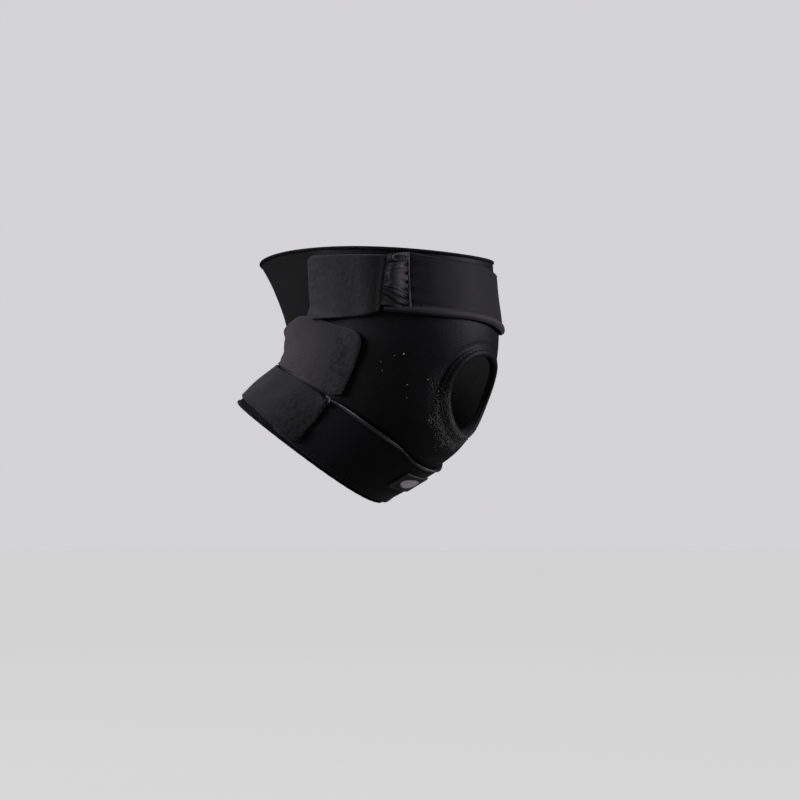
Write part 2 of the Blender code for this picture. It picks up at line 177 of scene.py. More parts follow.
# Materials. Groups give masks, heights and tones only; the shader stays in each material.
def feed(socket, value):
    if isinstance(value, bpy.types.NodeSocket):
        socket.id_data.links.new(value, socket)
    elif socket.type == "RGBA":
        socket.default_value = (*value[:3], 1.0)
    else:
        socket.default_value = value


def addNode(tree, kind, inputs=None, **settings):
    node = tree.nodes.new("ShaderNode" + kind)
    for name, value in settings.items():
        setattr(node, name, value)
    for key, value in (inputs or {}).items():
        feed(node.inputs[key], value)
    return node


def calc(operation, *values, clamp=False):
    tree = next(value.id_data for value in values if isinstance(value, bpy.types.NodeSocket))
    inputs = dict(enumerate(values))
    return addNode(tree, "Math", inputs, operation=operation, use_clamp=clamp).outputs[0]


def blendColour(factor, first, second):
    inputs = {0: factor, 6: first, 7: second}
    return addNode(factor.id_data, "Mix", inputs, data_type="RGBA").outputs[2]


def noiseOf(vector, scale, detail, **more):
    inputs = {"Vector": vector, "Scale": scale, "Detail": detail, **more}
    return addNode(vector.id_data, "TexNoise", inputs).outputs[0]


def fadeOf(value, start, end, kind="SMOOTHSTEP"):
    inputs = {0: value, 1: start, 2: end, 3: 0.0, 4: 1.0}
    return addNode(value.id_data, "MapRange", inputs, interpolation_type=kind).outputs[0]


def splitOf(vector):
    parts = addNode(vector.id_data, "SeparateXYZ", {0: vector}).outputs
    return parts["X"], parts["Y"]


# Each group is given a place and the size of its pattern there, both in metres
def newGroup(name, pattern):
    group = bpy.data.node_groups.new(name, "ShaderNodeTree")
    group.interface.new_socket("Place", in_out="INPUT", socket_type="NodeSocketVector")
    group.interface.new_socket("Size", in_out="INPUT", socket_type="NodeSocketFloat")
    given = group.nodes.new("NodeGroupInput").outputs
    inputs = {0: given["Place"], "Scale": calc("DIVIDE", 1.0, given["Size"])}
    results = pattern(addNode(group, "VectorMath", inputs, operation="SCALE").outputs[0])
    for label in results:
        group.interface.new_socket(label, in_out="OUTPUT", socket_type="NodeSocketFloat")
    output = group.nodes.new("NodeGroupOutput")
    for label, socket in results.items():
        feed(output.inputs[label], socket)
    return group


# Rows of tiny knitted loops: each is a V, as on the nylon face of neoprene
def jerseyPattern(place):
    x, y = splitOf(place)
    column = calc("ABSOLUTE", calc("SINE", calc("MULTIPLY", x, math.pi)))
    slant = calc("ABSOLUTE", calc("SUBTRACT", calc("FRACT", x), 0.5))
    row = calc("MULTIPLY", calc("ADD", y, slant), 2 * math.pi)
    loops = calc("MULTIPLY_ADD", calc("SINE", row), 0.3, 0.7)
    height = calc("MULTIPLY", calc("POWER", column, 0.6), loops)
    fluff = calc("MULTIPLY", noiseOf(place, 0.9, 3.0, Roughness=0.6), 0.6)
    return {"Height": height, "Tone": calc("MULTIPLY_ADD", height, 0.55, fluff)}


# Brushed loops: fine fluff with a lay along the strap and slower patches of crushed pile
def pilePattern(place):
    fluff = noiseOf(place, 1.0, 5.0, Roughness=0.72)
    lay = addNode(place.id_data, "Mapping", {"Vector": place, "Scale": (0.25, 1.3, 1.0)}).outputs[0]
    streaks = noiseOf(lay, 1.0, 3.0, Distortion=0.6)
    height = calc("MULTIPLY_ADD", streaks, 0.45, calc("MULTIPLY", fluff, 0.75))
    return {"Height": height, "Crushed": fadeOf(noiseOf(place, 0.11, 4.0, Roughness=0.62), 0.42, 0.66)}


# Staggered raised dots of a spacer knit
def dotPattern(place):
    x, y = splitOf(place)
    stagger = calc("MULTIPLY", calc("MODULO", calc("FLOOR", y), 2.0), 0.5)
    across = calc("SUBTRACT", calc("FRACT", calc("ADD", x, stagger)), 0.5)
    along = calc("SUBTRACT", calc("FRACT", y), 0.5)
    square = calc("ADD", calc("MULTIPLY", across, across), calc("MULTIPLY", along, along))
    dots = fadeOf(calc("SQRT", square), 0.44, 0.18)
    uneven = calc("ADD", noiseOf(place, 0.8, 2.0), 0.45)
    return {"Height": dots, "Dots": calc("MULTIPLY", dots, uneven, clamp=True)}


# Small round balls of worn fibre, in loose clusters
def pillPattern(place):
    cells = addNode(place.id_data, "TexVoronoi", {"Vector": place, "Scale": 1.0}).outputs["Distance"]
    chosen = fadeOf(noiseOf(place, 0.45, 1.0), 0.42, 0.58, "LINEAR")
    return {"Pills": calc("MULTIPLY", fadeOf(cells, 0.5, 0.1), chosen)}


# Slow changes of tone over the whole brace
def usePattern(place):
    return {"Tone": noiseOf(place, 1.0, 4.0, Roughness=0.55)}


jerseyGroup = newGroup("jerseyKnit", jerseyPattern)
pileGroup = newGroup("brushedPile", pilePattern)
dotGroup = newGroup("dottedKnit", dotPattern)
pillGroup = newGroup("pilledWear", pillPattern)
useGroup = newGroup("useMarks", usePattern)
pileSize = 0.00055


def useGroupIn(group, place, size):
    return addNode(place.id_data, "Group", {"Place": place, "Size": size}, node_tree=group).outputs


def clothOf(tree):
    return addNode(tree, "UVMap", uv_map="cloth").outputs[0]


def placeOf(tree):
    return addNode(tree, "TexCoord").outputs["Object"]


def maskOf(tree, name):
    return addNode(tree, "Attribute", attribute_name=name).outputs["Fac"]


def newMaterial(name, specular, sheen=0.0, sheenRoughness=0.5, sheenTint=(1, 1, 1)):
    material = bpy.data.materials.new(name)
    material.use_nodes = True
    sockets = material.node_tree.nodes["Principled BSDF"].inputs
    sockets["Metallic"].default_value = 0
    sockets["Specular IOR Level"].default_value = specular
    sockets["Sheen Weight"].default_value = sheen
    sockets["Sheen Roughness"].default_value = sheenRoughness
    sockets["Sheen Tint"].default_value = (*sheenTint, 1)
    return material, material.node_tree


# Bumps are height, distance and strength, laid over each other from the first on
def finishSurface(material, base, rough, *bumps):
    tree = material.node_tree
    sockets = tree.nodes["Principled BSDF"].inputs
    feed(sockets["Base Color"], base)
    feed(sockets["Roughness"], rough)
    normal = None
    for height, distance, strength in bumps:
        bump = addNode(tree, "Bump", {"Height": height, "Distance": distance, "Strength": strength})
        if normal:
            feed(bump.inputs["Normal"], normal)
        normal = bump.outputs[0]
    if normal:
        feed(sockets["Normal"], normal)
    return material


def roughBetween(tone, low, high):
    return calc("MULTIPLY_ADD", tone, high - low, low)


# Nylon-faced neoprene: near black, paler where it is worn and pilled, and darker and duller where painted shade lies
# over the rear panel and along the lower rim
neopreneFinish = {
    "dark": (0.0040, 0.0037, 0.0044),
    "light": (0.0135, 0.0127, 0.0145),
    "rearShade": (0.0042, 0.0041, 0.0045),
    "pilled": (0.085, 0.082, 0.085),
    "pitch": 0.0009,
    "pills": 0.0017,
    "patches": 0.035,
    "roughness": (0.42, 0.56),
}


def makeNeoprene():
    finish = neopreneFinish
    material, tree = newMaterial("neopreneFace", specular=0.16)
    cloth = clothOf(tree)
    knit = useGroupIn(jerseyGroup, cloth, finish["pitch"])
    use = useGroupIn(useGroup, placeOf(tree), finish["patches"])["Tone"]
    worn, paintedShade = maskOf(tree, "worn"), maskOf(tree, "paintedShade")
    tone = calc("MULTIPLY", knit["Tone"], calc("MULTIPLY_ADD", use, 1.2, 0.3), clamp=True)
    base = blendColour(tone, finish["dark"], finish["light"])
    # Painted shade: the rear panel and a strip along the lower rim take a darker colour
    base = blendColour(calc("MULTIPLY", paintedShade, 0.85), base, finish["rearShade"])
    ball = calc("MULTIPLY", useGroupIn(pillGroup, cloth, finish["pills"])["Pills"], worn)
    haze = calc("MULTIPLY_ADD", worn, 0.10, calc("MULTIPLY", ball, 0.75), clamp=True)
    base = blendColour(haze, base, finish["pilled"])
    dull = calc("MULTIPLY", calc("MAXIMUM", worn, paintedShade), 0.34)
    rough = calc("ADD", roughBetween(use, *finish["roughness"]), dull, clamp=True)
    return finishSurface(material, base, rough, (knit["Height"], 0.00012, 0.55), (ball, 0.0007, 0.9))


def makeLining():
    material, tree = newMaterial("liningKnit", specular=0.25, sheen=0.05)
    knit = useGroupIn(jerseyGroup, clothOf(tree), 0.0012)
    use = useGroupIn(useGroup, placeOf(tree), 0.05)["Tone"]
    tone = calc("MULTIPLY", knit["Tone"], calc("ADD", use, 0.5), clamp=True)
    base = blendColour(tone, (0.003, 0.003, 0.0033), (0.011, 0.0107, 0.0115))
    rough = calc("MULTIPLY_ADD", knit["Tone"], 0.15, 0.66)
    return finishSurface(material, base, rough, (knit["Height"], 0.00018, 0.6))


# The cut edge of the foam, full of tiny closed cells
def makeFoam():
    material, tree = newMaterial("foamCut", specular=0.2)
    cells = addNode(tree, "TexVoronoi", {"Vector": placeOf(tree), "Scale": 2600.0}).outputs["Distance"]
    base = blendColour(cells, (0.004, 0.004, 0.004), (0.013, 0.0125, 0.013))
    return finishSurface(material, base, calc("MULTIPLY_ADD", cells, 0.1, 0.8), (cells, 0.00025, 0.8))


# Smooth nylon laminate of the straps; "lit" marks the folded and hemmed stretches, where the hem colour is a painted
# highlight
def makeStrapNylon(name, dark, light, hem, roughness, sheen=0.04, specular=0.10):
    material, tree = newMaterial(name, specular, sheen, sheenRoughness=0.35)
    knit = useGroupIn(jerseyGroup, clothOf(tree), 0.0007)
    use = useGroupIn(useGroup, placeOf(tree), 0.028)["Tone"]
    tone = calc("MULTIPLY", knit["Tone"], calc("ADD", use, 0.35), clamp=True)
    base = blendColour(maskOf(tree, "lit"), blendColour(tone, dark, light), hem)
    return finishSurface(material, base, roughBetween(use, *roughness), (knit["Height"], 0.0001, 0.5))


def fluffOf(pile, dark, light):
    return blendColour(calc("MULTIPLY_ADD", pile["Height"], 1.7, -0.45, clamp=True), dark, light)


# Brushed loop pile; "lit" shows its crushed patches, and "shaded" is painted shade that darkens it along the strap
def makePile(name, dark, light, crushed, sheen):
    material, tree = newMaterial(name, 0.15, sheen, sheenRoughness=0.45, sheenTint=(0.95, 0.96, 1.0))
    pile = useGroupIn(pileGroup, clothOf(tree), pileSize)
    patches = calc("MULTIPLY", pile["Crushed"], maskOf(tree, "lit"))
    base = blendColour(patches, fluffOf(pile, dark, light), crushed)
    shade = calc("MULTIPLY", maskOf(tree, "shaded"), 0.85)
    base = blendColour(shade, base, (0.006, 0.006, 0.0065))
    rough = calc("MULTIPLY_ADD", pile["Height"], 0.15, 0.80)
    bumps = (pile["Height"], 0.00035, 0.75), (pile["Crushed"], 0.0004, 0.3)
    return finishSurface(material, base, rough, *bumps)


# Knit strap: raised dots over most of it, smooth beside them, brushed grey at its end ("lit")
knitFinish = {
    "ground": (0.028, 0.0255, 0.0300),
    "dots": (0.100, 0.090, 0.094),
    "smooth": (0.044, 0.0410, 0.0465),
    "pile": ((0.020, 0.020, 0.021), (0.046, 0.0455, 0.047)),
    "rubbed": (0.012, 0.012, 0.012),
    "dotPitch": 0.0015,
    "dotTurn": 0.62,
}


def makeKnitStrap():
    finish = knitFinish
    material, tree = newMaterial("dottedStrapKnit", 0.10, sheen=0.12, sheenTint=(0.95, 0.9, 1.0))
    cloth = clothOf(tree)
    aslant = addNode(tree, "Mapping", {"Vector": cloth, "Rotation": (0, 0, finish["dotTurn"])}).outputs[0]
    dots = useGroupIn(dotGroup, aslant, finish["dotPitch"])
    pile = useGroupIn(pileGroup, cloth, pileSize)
    brushed, smooth = maskOf(tree, "lit"), maskOf(tree, "smooth")
    showing = calc("MULTIPLY", dots["Dots"], calc("SUBTRACT", 1.0, smooth))
    knit = blendColour(showing, finish["ground"], finish["dots"])
    knit = blendColour(smooth, knit, finish["smooth"])
    rubbed = calc("MULTIPLY", pile["Crushed"], maskOf(tree, "shaded"))
    worn = blendColour(rubbed, fluffOf(pile, *finish["pile"]), finish["rubbed"])
    rough = calc("MULTIPLY_ADD", pile["Height"], 0.15, 0.78)
    plain = calc("SUBTRACT", 1.0, calc("MAXIMUM", brushed, smooth))
    bumps = (calc("MULTIPLY", dots["Height"], plain), 0.0003, 0.7), (pile["Height"], 0.0003, 0.55)
    return finishSurface(material, blendColour(brushed, knit, worn), rough, *bumps)


def makeThread(name, dark, light, roughness=0.5, fineness=2600.0):
    material, tree = newMaterial(name, specular=0.4, sheen=0.1)
    ply = noiseOf(placeOf(tree), fineness, 2.0)
    rough = calc("MULTIPLY_ADD", ply, 0.2, roughness - 0.1)
    return finishSurface(material, blendColour(ply, dark, light), rough, (ply, 0.00008, 0.6))


def makeLabelFace():
    material, tree = newMaterial("labelFace", specular=0.35)
    knit = useGroupIn(jerseyGroup, clothOf(tree), 0.0005)
    panel = maskOf(tree, "lit")
    base = blendColour(knit["Tone"], (0.008, 0.008, 0.009), (0.020, 0.0195, 0.021))
    base = blendColour(maskOf(tree, "border"), base, (0.045, 0.045, 0.047))
    base = blendColour(panel, base, (0.72, 0.72, 0.72))
    rough = calc("MULTIPLY_ADD", knit["Tone"], 0.15, 0.45)
    return finishSurface(material, base, rough, (knit["Height"], 0.00008, 0.5), (panel, 0.0001, 0.5))


neoprene = makeNeoprene()
lining = makeLining()
foam = makeFoam()
# Nylons: dark and light thread, the painted highlight of folded edges, roughness
strapNylon = makeStrapNylon(
    "strapNylon", (0.0120, 0.0117, 0.0128), (0.0310, 0.0302, 0.0330), (0.058, 0.056, 0.059), (0.50, 0.62)
)
shinNylon = makeStrapNylon(
    "shinNylon", (0.0075, 0.0069, 0.0082), (0.0205, 0.0193, 0.0223), (0.060, 0.058, 0.060), (0.46, 0.60), sheen=0.03
)
gatherNylon = makeStrapNylon(
    "gatherNylon", (0.0075, 0.0072, 0.0078), (0.020, 0.0195, 0.021), (0.165, 0.160, 0.167), (0.38, 0.50), specular=0.36
)
bindingTape = makeStrapNylon(
    "bindingTape", (0.0016, 0.0016, 0.0017), (0.0050, 0.0048, 0.0051), (0.008, 0.0078, 0.008), (0.6, 0.75), 0, 0.05
)
weltNylon = makeStrapNylon(
    "weltNylon", (0.006, 0.006, 0.0065), (0.016, 0.0155, 0.0165), (0.34, 0.33, 0.34), (0.35, 0.45), specular=0.4
)
upperPile = makePile("upperTabPile", (0.028, 0.028, 0.030), (0.050, 0.050, 0.0525), (0.052, 0.052, 0.055), 0.12)
calfPile = makePile("calfTabPile", (0.0130, 0.0130, 0.0138), (0.0245, 0.0247, 0.0262), (0.010, 0.010, 0.0105), 0.08)
knitStrap = makeKnitStrap()
darkThread = makeThread("darkThread", (0.012, 0.012, 0.012), (0.035, 0.034, 0.035))
lintFibre = makeThread("lintFibre", (0.45, 0.44, 0.43), (0.7, 0.69, 0.67), 0.7)
looseFibre = makeThread("looseFibre", (0.05, 0.05, 0.052), (0.11, 0.11, 0.115), 0.7)
pillFibre = makeThread("pillFibre", (0.006, 0.006, 0.0063), (0.110, 0.108, 0.110), 0.6, 700.0)
labelFace = makeLabelFace()
print("materials made")


# Cloth pieces: a flat grid, one unit each way, is laid on the leg and given its wall
def flatGrid(columns, rows, endDensity=0.0):
    bm = bmesh.new()
    bmesh.ops.create_grid(bm, x_segments=columns, y_segments=rows, size=0.5)
    bmesh.ops.translate(bm, verts=bm.verts, vec=(0.5, 0.5, 0))
    for vert in bm.verts:
        vert.co.x -= endDensity * math.sin(2 * math.pi * vert.co.x) / (2 * math.pi)
    return bm


def spotsOf(bm):
    spots = np.array([vert.co[:2] for vert in bm.verts])
    return spots[:, 0], spots[:, 1]


# A strap's grid, with the shares along and across it and then the metres
def strapGrid(strap, columns, rows, endDensity):
    bm = flatGrid(columns, rows, endDensity)
    along, across = spotsOf(bm)
    return bm, along, across, along * strap["length"], across * strap["width"]


def setMask(bm, name, values):
    layer = bm.verts.layers.float.new(name)
    for vert, value in zip(bm.verts, np.broadcast_to(values, len(bm.verts))):
        vert[layer] = float(value)


def setCloth(bm, x, y):
    bm.verts.index_update()
    layer = bm.loops.layers.uv.new("cloth")
    for face in bm.faces:
        for loop in face.loops:
            i = loop.vert.index
            loop[layer].uv = (x[i], y[i])


def moveTo(bm, points):
    for vert, point in zip(bm.verts, points):
        vert.co = point


def faceOutward(bm):
    bm.normal_update()
    middle = Vector((0, 0.02, 0))
    if sum(face.normal.dot(face.calc_center_median() - middle) for face in bm.faces) < 0:
        bmesh.ops.reverse_faces(bm, faces=bm.faces)


def newPiece(name, bm, materials, nodes=(), wall=None, rounding=None):
    mesh = bpy.data.meshes.new(name)
    bm.to_mesh(mesh)
    bm.free()
    piece = bpy.data.objects.new(name, mesh)
    bpy.context.scene.collection.objects.link(piece)
    for material in materials:
        mesh.materials.append(material)
    mesh.shade_smooth()
    if wall:
        solid = piece.modifiers.new("wall", "SOLIDIFY")
        solid.thickness, solid.offset = wall, -1
        solid.material_offset = min(1, len(materials) - 1)
        solid.material_offset_rim = min(2, len(materials) - 1)
    if rounding:
        edge = piece.modifiers.new("edges", "BEVEL")
        edge.width, edge.segments, edge.profile = rounding, 3, 0.5
        edge.limit_method, edge.angle_limit = "ANGLE", math.radians(50)
    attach(piece, "root")
    if nodes:
        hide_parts(*nodes)
    return piece


# A flat piece laid on the leg; cloth is each point's place on the flat piece
def laidPiece(name, bm, cloth, place, height, material, slot, node, wall, rounding=None):
    setCloth(bm, *cloth)
    moveTo(bm, pathOnLeg(*place, height)[0])
    faceOutward(bm)
    return newPiece(name, bm, [material], [node], wall, rounding)


# A piece whose grid was rolled into a tube, or a tube into a ring
def rolledPiece(name, bm, points, material, nodes=()):
    moveTo(bm, points)
    bmesh.ops.remove_doubles(bm, verts=bm.verts, dist=1e-6)
    bmesh.ops.recalc_face_normals(bm, faces=bm.faces)
    return newPiece(name, bm, [material], nodes)


# Small shapes set down many times: each is made once, then copied into place
def stampShape(operator, **settings):
    shape = bmesh.new()
    operator(shape, **settings)
    mesh = bpy.data.meshes.new("stamp")
    shape.to_mesh(mesh)
    shape.free()
    return mesh


stampShapes = {
    "stitch": stampShape(bmesh.ops.create_uvsphere, u_segments=6, v_segments=4, radius=1.0),
    "pill": stampShape(bmesh.ops.create_icosphere, subdivisions=1, radius=1.0),
    "fibre": stampShape(
        bmesh.ops.create_cone, cap_ends=False, segments=3, radius1=1.0, radius2=0.2, depth=1.0
    ),
}


def stamp(bm, kind, spot, turn, size):
    placed = stampShapes[kind].copy()
    placed.transform(Matrix.Translation(spot) @ turn.to_4x4() @ Matrix.Diagonal((*size, 1)))
    bm.from_mesh(placed)
    bpy.data.meshes.remove(placed)


# Stitches: a short fat thread lies every pitch along a line, sunk a little into the cloth
def addStitches(bm, points, outward, length, pitch, radius, slant):
    steps = np.linalg.norm(np.diff(points, axis=0), axis=1)
    gone = np.concatenate([[0], np.cumsum(steps)])
    count = max(1, int(gone[-1] / pitch))
    for i in range(count):
        middle = (i + 0.5) * gone[-1] / count
        k = int(np.clip(np.searchsorted(gone, middle) - 1, 0, len(steps) - 1))
        share = (middle - gone[k]) / max(steps[k], 1e-9)
        up = Vector(outward[k])
        spot = Vector(points[k] + share * (points[k + 1] - points[k])) + up * radius * 0.5
        ahead = Vector(points[k + 1] - points[k]).normalized()
        side = up.cross(ahead).normalized()
        ahead = (math.cos(slant) * ahead + math.sin(slant) * side).normalized()
        side = up.cross(ahead).normalized()
        turn = Matrix((ahead, side, up)).transposed()
        stamp(bm, "stitch", spot, turn, (length / 2, radius, radius))


stitches = {"length": 0.0019, "pitch": 0.0027, "radius": 0.00019, "slant": 0.0}


def makeSeam(name, slot, lines, **changed):
    bm = bmesh.new()
    for points, outward in lines:
        addStitches(bm, points, outward, **{**stitches, **changed})
    return newPiece(name, bm, [darkThread])


# The sleeve: a neoprene tube with the kneecap opening cut through its front
sleeve = {
    "columns": 300,
    "rows": 128,
    "wall": 0.0030,
    "trim": 0.0019,
    "bound": 0.0006,
    "openingWidth": 0.0450,
    "openingHeight": 0.0500,
    "openingAngle": 2.5,
    "openingDown": 0.583,
    "openingLean": 2.5,
    "cutReach": 1.09,
    "flatScale": 0.14,
    "swell": 0.00018,
    "foldDepth": 0.0011,
    "tapeFrom": 0.945,
    "pilled": (0.0066, 0.0095),
}
layerGap = 0.0003
openingAcross = degreesOf(1.0, sleeve["openingAngle"], sleeve["openingDown"])
openingDeep = float(shareOf(1.0, sleeve["openingAngle"], sleeve["openingDown"])[0])
halfAcross = sleeve["openingWidth"] / 2 * openingAcross
halfDeep = sleeve["openingHeight"] / 2 * openingDeep


def lowerEdge(angle):
    return 1 - shareOf(sleeve["trim"], angle, 1.0)


# Round the opening: reach multiplies the oval, and grown adds metres to it
def ovalPlace(turn, reach=1, grown=0):
    half, deep = halfAcross + grown * openingAcross, halfDeep + grown * openingDeep
    angle = sleeve["openingAngle"] + reach * (half * np.sin(turn) + sleeve["openingLean"] * np.cos(turn))
    return angle, sleeve["openingDown"] - reach * deep * np.cos(turn)


def ovalReach(angle, down):
    c = (sleeve["openingDown"] - down) / halfDeep
    s = ((angle + 180) % 360 - 180 - sleeve["openingAngle"] - sleeve["openingLean"] * c) / halfAcross
    return np.hypot(s, c), np.arctan2(s, c)


def cutOpening(bm):
    flat, start = sleeve["flatScale"], sleeve["cutReach"]

    def polar(vert):
        c = (sleeve["openingDown"] - vert.co.y / flat) / halfDeep
        s = (vert.co.x * 1000 - sleeve["openingAngle"] - sleeve["openingLean"] * c) / halfAcross
        return math.hypot(s, c), math.atan2(s, c)

    def snap(vert, turn, reach):
        angle, down = ovalPlace(turn, reach)
        vert.co = (angle * 0.001, down * flat, 0)

    inside = [face for face in bm.faces if sum(polar(v)[0] for v in face.verts) / 4 < start]
    bmesh.ops.delete(bm, geom=inside, context="FACES")
    rim = {v for e in bm.edges if e.is_boundary for v in e.verts if polar(v)[0] < 1.5}
    order = sorted(rim, key=lambda v: polar(v)[1])
    turns = np.array([polar(v)[1] for v in order])
    # The stepped rim is spread evenly round the oval, and the grid near it eased
    for _ in range(6):
        before, after = np.roll(turns, 1), np.roll(turns, -1)
        before[0] -= 2 * math.pi
        after[-1] += 2 * math.pi
        turns = turns * 0.4 + (before + after) * 0.3
    for vert, turn in zip(order, turns):
        snap(vert, float(turn), start)
    near = [v for v in bm.verts if v not in rim and polar(v)[0] < 1.9]
    for _ in range(14):
        bmesh.ops.smooth_vert(bm, verts=near, factor=0.5, use_axis_x=True, use_axis_y=True, use_axis_z=False)
    for reach in (1.05, 1.02, 1.0):
        edges = [e for e in bm.edges if e.is_boundary and all(polar(v)[0] < 1.3 for v in e.verts)]
        made = bmesh.ops.extrude_edge_only(bm, edges=edges)["geom"]
        for vert in (item for item in made if isinstance(item, bmesh.types.BMVert)):
            snap(vert, polar(vert)[1], reach)


def makeSleeve():
    bm = flatGrid(sleeve["columns"], sleeve["rows"])
    for vert in bm.verts:
        vert.co = ((vert.co.x - 0.5) * 0.36, vert.co.y * sleeve["flatScale"], 0)
    cutOpening(bm)
    x, y = spotsOf(bm)
    angle, along = x * 1000, y / sleeve["flatScale"]
    top = float(shareOf(sleeve["bound"], 0, 0)[0])
    down = top + (1 - 2 * top) * along
    reach, turn = ovalReach(angle, down)
    # Fixed to its real place near the opening, where the grid was cut
    down = np.where(reach < 2, down + (along - down) * smoothStep(-reach, -2, -1.5), down)
    height = sleeve["swell"] * swells(x, y, 0.030, 5) - sleeve["swell"]
    # Creases behind the knee
    behind = smoothStep(np.cos(np.radians(angle - 180)), 0.25, 0.95)
    ripple = 0.5 + 0.5 * np.sin(2 * math.pi * (down * 26 + 0.4 * np.sin(np.radians(angle * 3))))
    height -= sleeve["foldDepth"] * bell(down, 0.68, 0.07) * behind * ripple
    # The cloth dips where the ring is sewn down
    height -= 0.0004 * bell(reach, 1.33, 0.05)
    height *= smoothStep(reach, 1.0, 1.2)
    clear, fade = sleeve["pilled"]
    beyond = (reach - 1) * sleeve["openingWidth"] / 2 - clear
    band = smoothStep(beyond, -0.002, 0.0005) * smoothStep(beyond, fade, 0.004)
    degrees = np.degrees(turn)
    lowerLeft = smoothStep(degrees, 62, 88) + smoothStep(-degrees, 150, 165)
    setMask(bm, "worn", np.clip(band * lowerLeft, 0, 1))
    # Painted shade: the rear panel behind the upper tab and a strip along the lower rim are darkened
    rearShade = smoothStep(angle % 360, 88, 100) * smoothStep(angle % 360, 230, 190)
    paintedShade = rearShade * smoothStep(down, 0.45, 0.36) + smoothStep(down, 0.91, 0.94)
    setMask(bm, "paintedShade", np.clip(paintedShade, 0, 1))
    setCloth(bm, x * 1.14, down * 0.150)
    # Below the straps the edge tape lies flat on the cloth
    for face in bm.faces:
        taped = min(down[vert.index] for vert in face.verts) > sleeve["tapeFrom"]
        face.material_index = 3 if taped else 0
    moveTo(bm, pathOnLeg(angle, down, height)[0])
    bmesh.ops.remove_doubles(bm, verts=bm.verts, dist=1e-5)
    faceOutward(bm)
    materials = [neoprene, lining, foam, bindingTape]
    return newPiece("sleeveShell", bm, materials, ["sleeve_body"], wall=sleeve["wall"])


sleeveShell = makeSleeve()
print("sleeve made")


# The padded ring round the opening: a low roll that turns in over the cut edge
ring = {"columns": 150, "rows": 30, "inset": 0.0003, "width": 0.0064, "rise": 0.0018, "tuck": 0.0012}


def ringCrown(across):
    return ring["rise"] * (1 - 0.85 * smoothStep(across, 0.30, 1.0))


def makeRing():
    bm = flatGrid(ring["columns"], ring["rows"])
    x, y = spotsOf(bm)
    turn, around = 2 * math.pi * x, 2 * math.pi * y
    # Round the roll's own section: a flat oval whose inner side reaches down the cut edge
    across = 0.5 - 0.5 * fuller(np.cos(around), 0.8)
    lift = fuller(np.sin(around), 0.8)
    crown = np.where(lift > 0, lift * ringCrown(across), 0)
    low = np.where(lift < 0, lift * ring["tuck"] * np.clip(1 - 3.2 * across, 0, 1), 0)
    # Stitches pull the outer rim in, and sink into a groove
    face = 0.00012 * np.cos(turn * 44) * bell(across, 0.86, 0.12)
    face += 0.00010 * swells(np.cos(turn) * 0.02, np.sin(turn) * 0.02, 0.018, 9)
    face -= 0.00030 * bell(across, 0.80, 0.05)
    height = layerGap + crown + low + face * (lift > 0)
    degrees = np.degrees(turn) % 360
    setMask(bm, "worn", 0.35 * smoothStep(degrees, 60, 100) * smoothStep(degrees, 230, 185))
    setMask(bm, "paintedShade", 0.0)
    setCloth(bm, x * 0.165, y * 0.016)
    place = ovalPlace(turn, grown=ring["width"] * across - ring["inset"])
    points = pathOnLeg(*place, height)[0]
    piece = rolledPiece("patellaRing", bm, points, neoprene, ["patella_ring"])


makeRing()

# Tape bound over each rim, with overlock thread across it
binding = {
    "sides": 14,
    "width": 0.0026,
    "proud": 0.0004,
    "threadIn": 0.0014,
    "thread": {"length": 0.0022, "pitch": 0.0018, "radius": 0.00014},
    "threadSlant": 62,
}


def makeBinding(name, node, edge, inward):
    bm = flatGrid(260, binding["sides"])
    x, y = spotsOf(bm)
    angle, around = 360 * x, 2 * math.pi * y
    # A rounded U: over the outer face, round the rim and down the inner face
    reach = binding["width"] * (0.5 - 0.5 * np.cos(around))
    half = sleeve["wall"] / 2 + binding["proud"]
    level = half * fuller(np.sin(around), 0.6) - sleeve["wall"] / 2
    level += 0.00008 * np.sin(2 * math.pi * x * 215) * (np.sin(around) > 0)
    down = edge + inward * shareOf(1.0, angle, edge) * reach
    setMask(bm, "lit", 0.2)
    setCloth(bm, x * 0.42, y * 0.012)
    return rolledPiece(name, bm, pathOnLeg(angle, down, level)[0], bindingTape, [node])


def makeOverlock(name, edge, inward):
    angle = np.linspace(0, 360, 400)
    down = edge + inward * shareOf(binding["threadIn"], angle, edge)
    slant = inward * math.radians(binding["threadSlant"])
    line = pathOnLeg(angle, down, binding["proud"])
    return makeSeam(name, "binding_tape", [line], slant=slant, **binding["thread"])


upperBinding = makeBinding("upperBinding", "upper_binding", 0.0, 1)
lowerBinding = makeBinding("lowerBinding", "lower_binding", 1.0, -1)
upperOverlock = makeOverlock("upperOverlock", 0.0, 1)
lowerOverlock = makeOverlock("lowerOverlock", 1.0, -1)
print("ring and bindings made")

# Straps. Each rib is a place along the strap, its edge, its breadth as a share of the width,
# and its lean in degrees. A hung strap's edge is its top, as a share of the way down; one
# that stands on the rim or on the lower tab has the clearances under its foot instead.
strapWall, tabWall = 0.0020, 0.0018
strapShell, tabShell = {"wall": 0.0019, "rounding": 0.0004}, {"wall": 0.0017, "rounding": 0.00035}
strapTop, tabTop = layerGap + strapWall, layerGap + tabWall
clearance = 0.0020
upperStrap = {
    "start": 49.3,
    "spread": -184.3,
    "width": 0.0380,
    "length": 0.222,
    "hem": 0.0052,
    "hemRise": 0.0015,
    "tongue": 13.0,
    "ribs": [
        (0.00, 0.023, 1.07, 4.7),
        (0.08, 0.038, 1.03, 1.0),
        (0.16, 0.040, 1.02, 0.0),
        (0.24, 0.047, 1.03, -0.5),
        (0.32, 0.070, 1.03, -4.0),
        (0.48, 0.085, 1.00, -2.0),
        (0.81, 0.068, 0.97, 0.0),
        (1.00, 0.060, 0.97, 0.0),
    ],
}
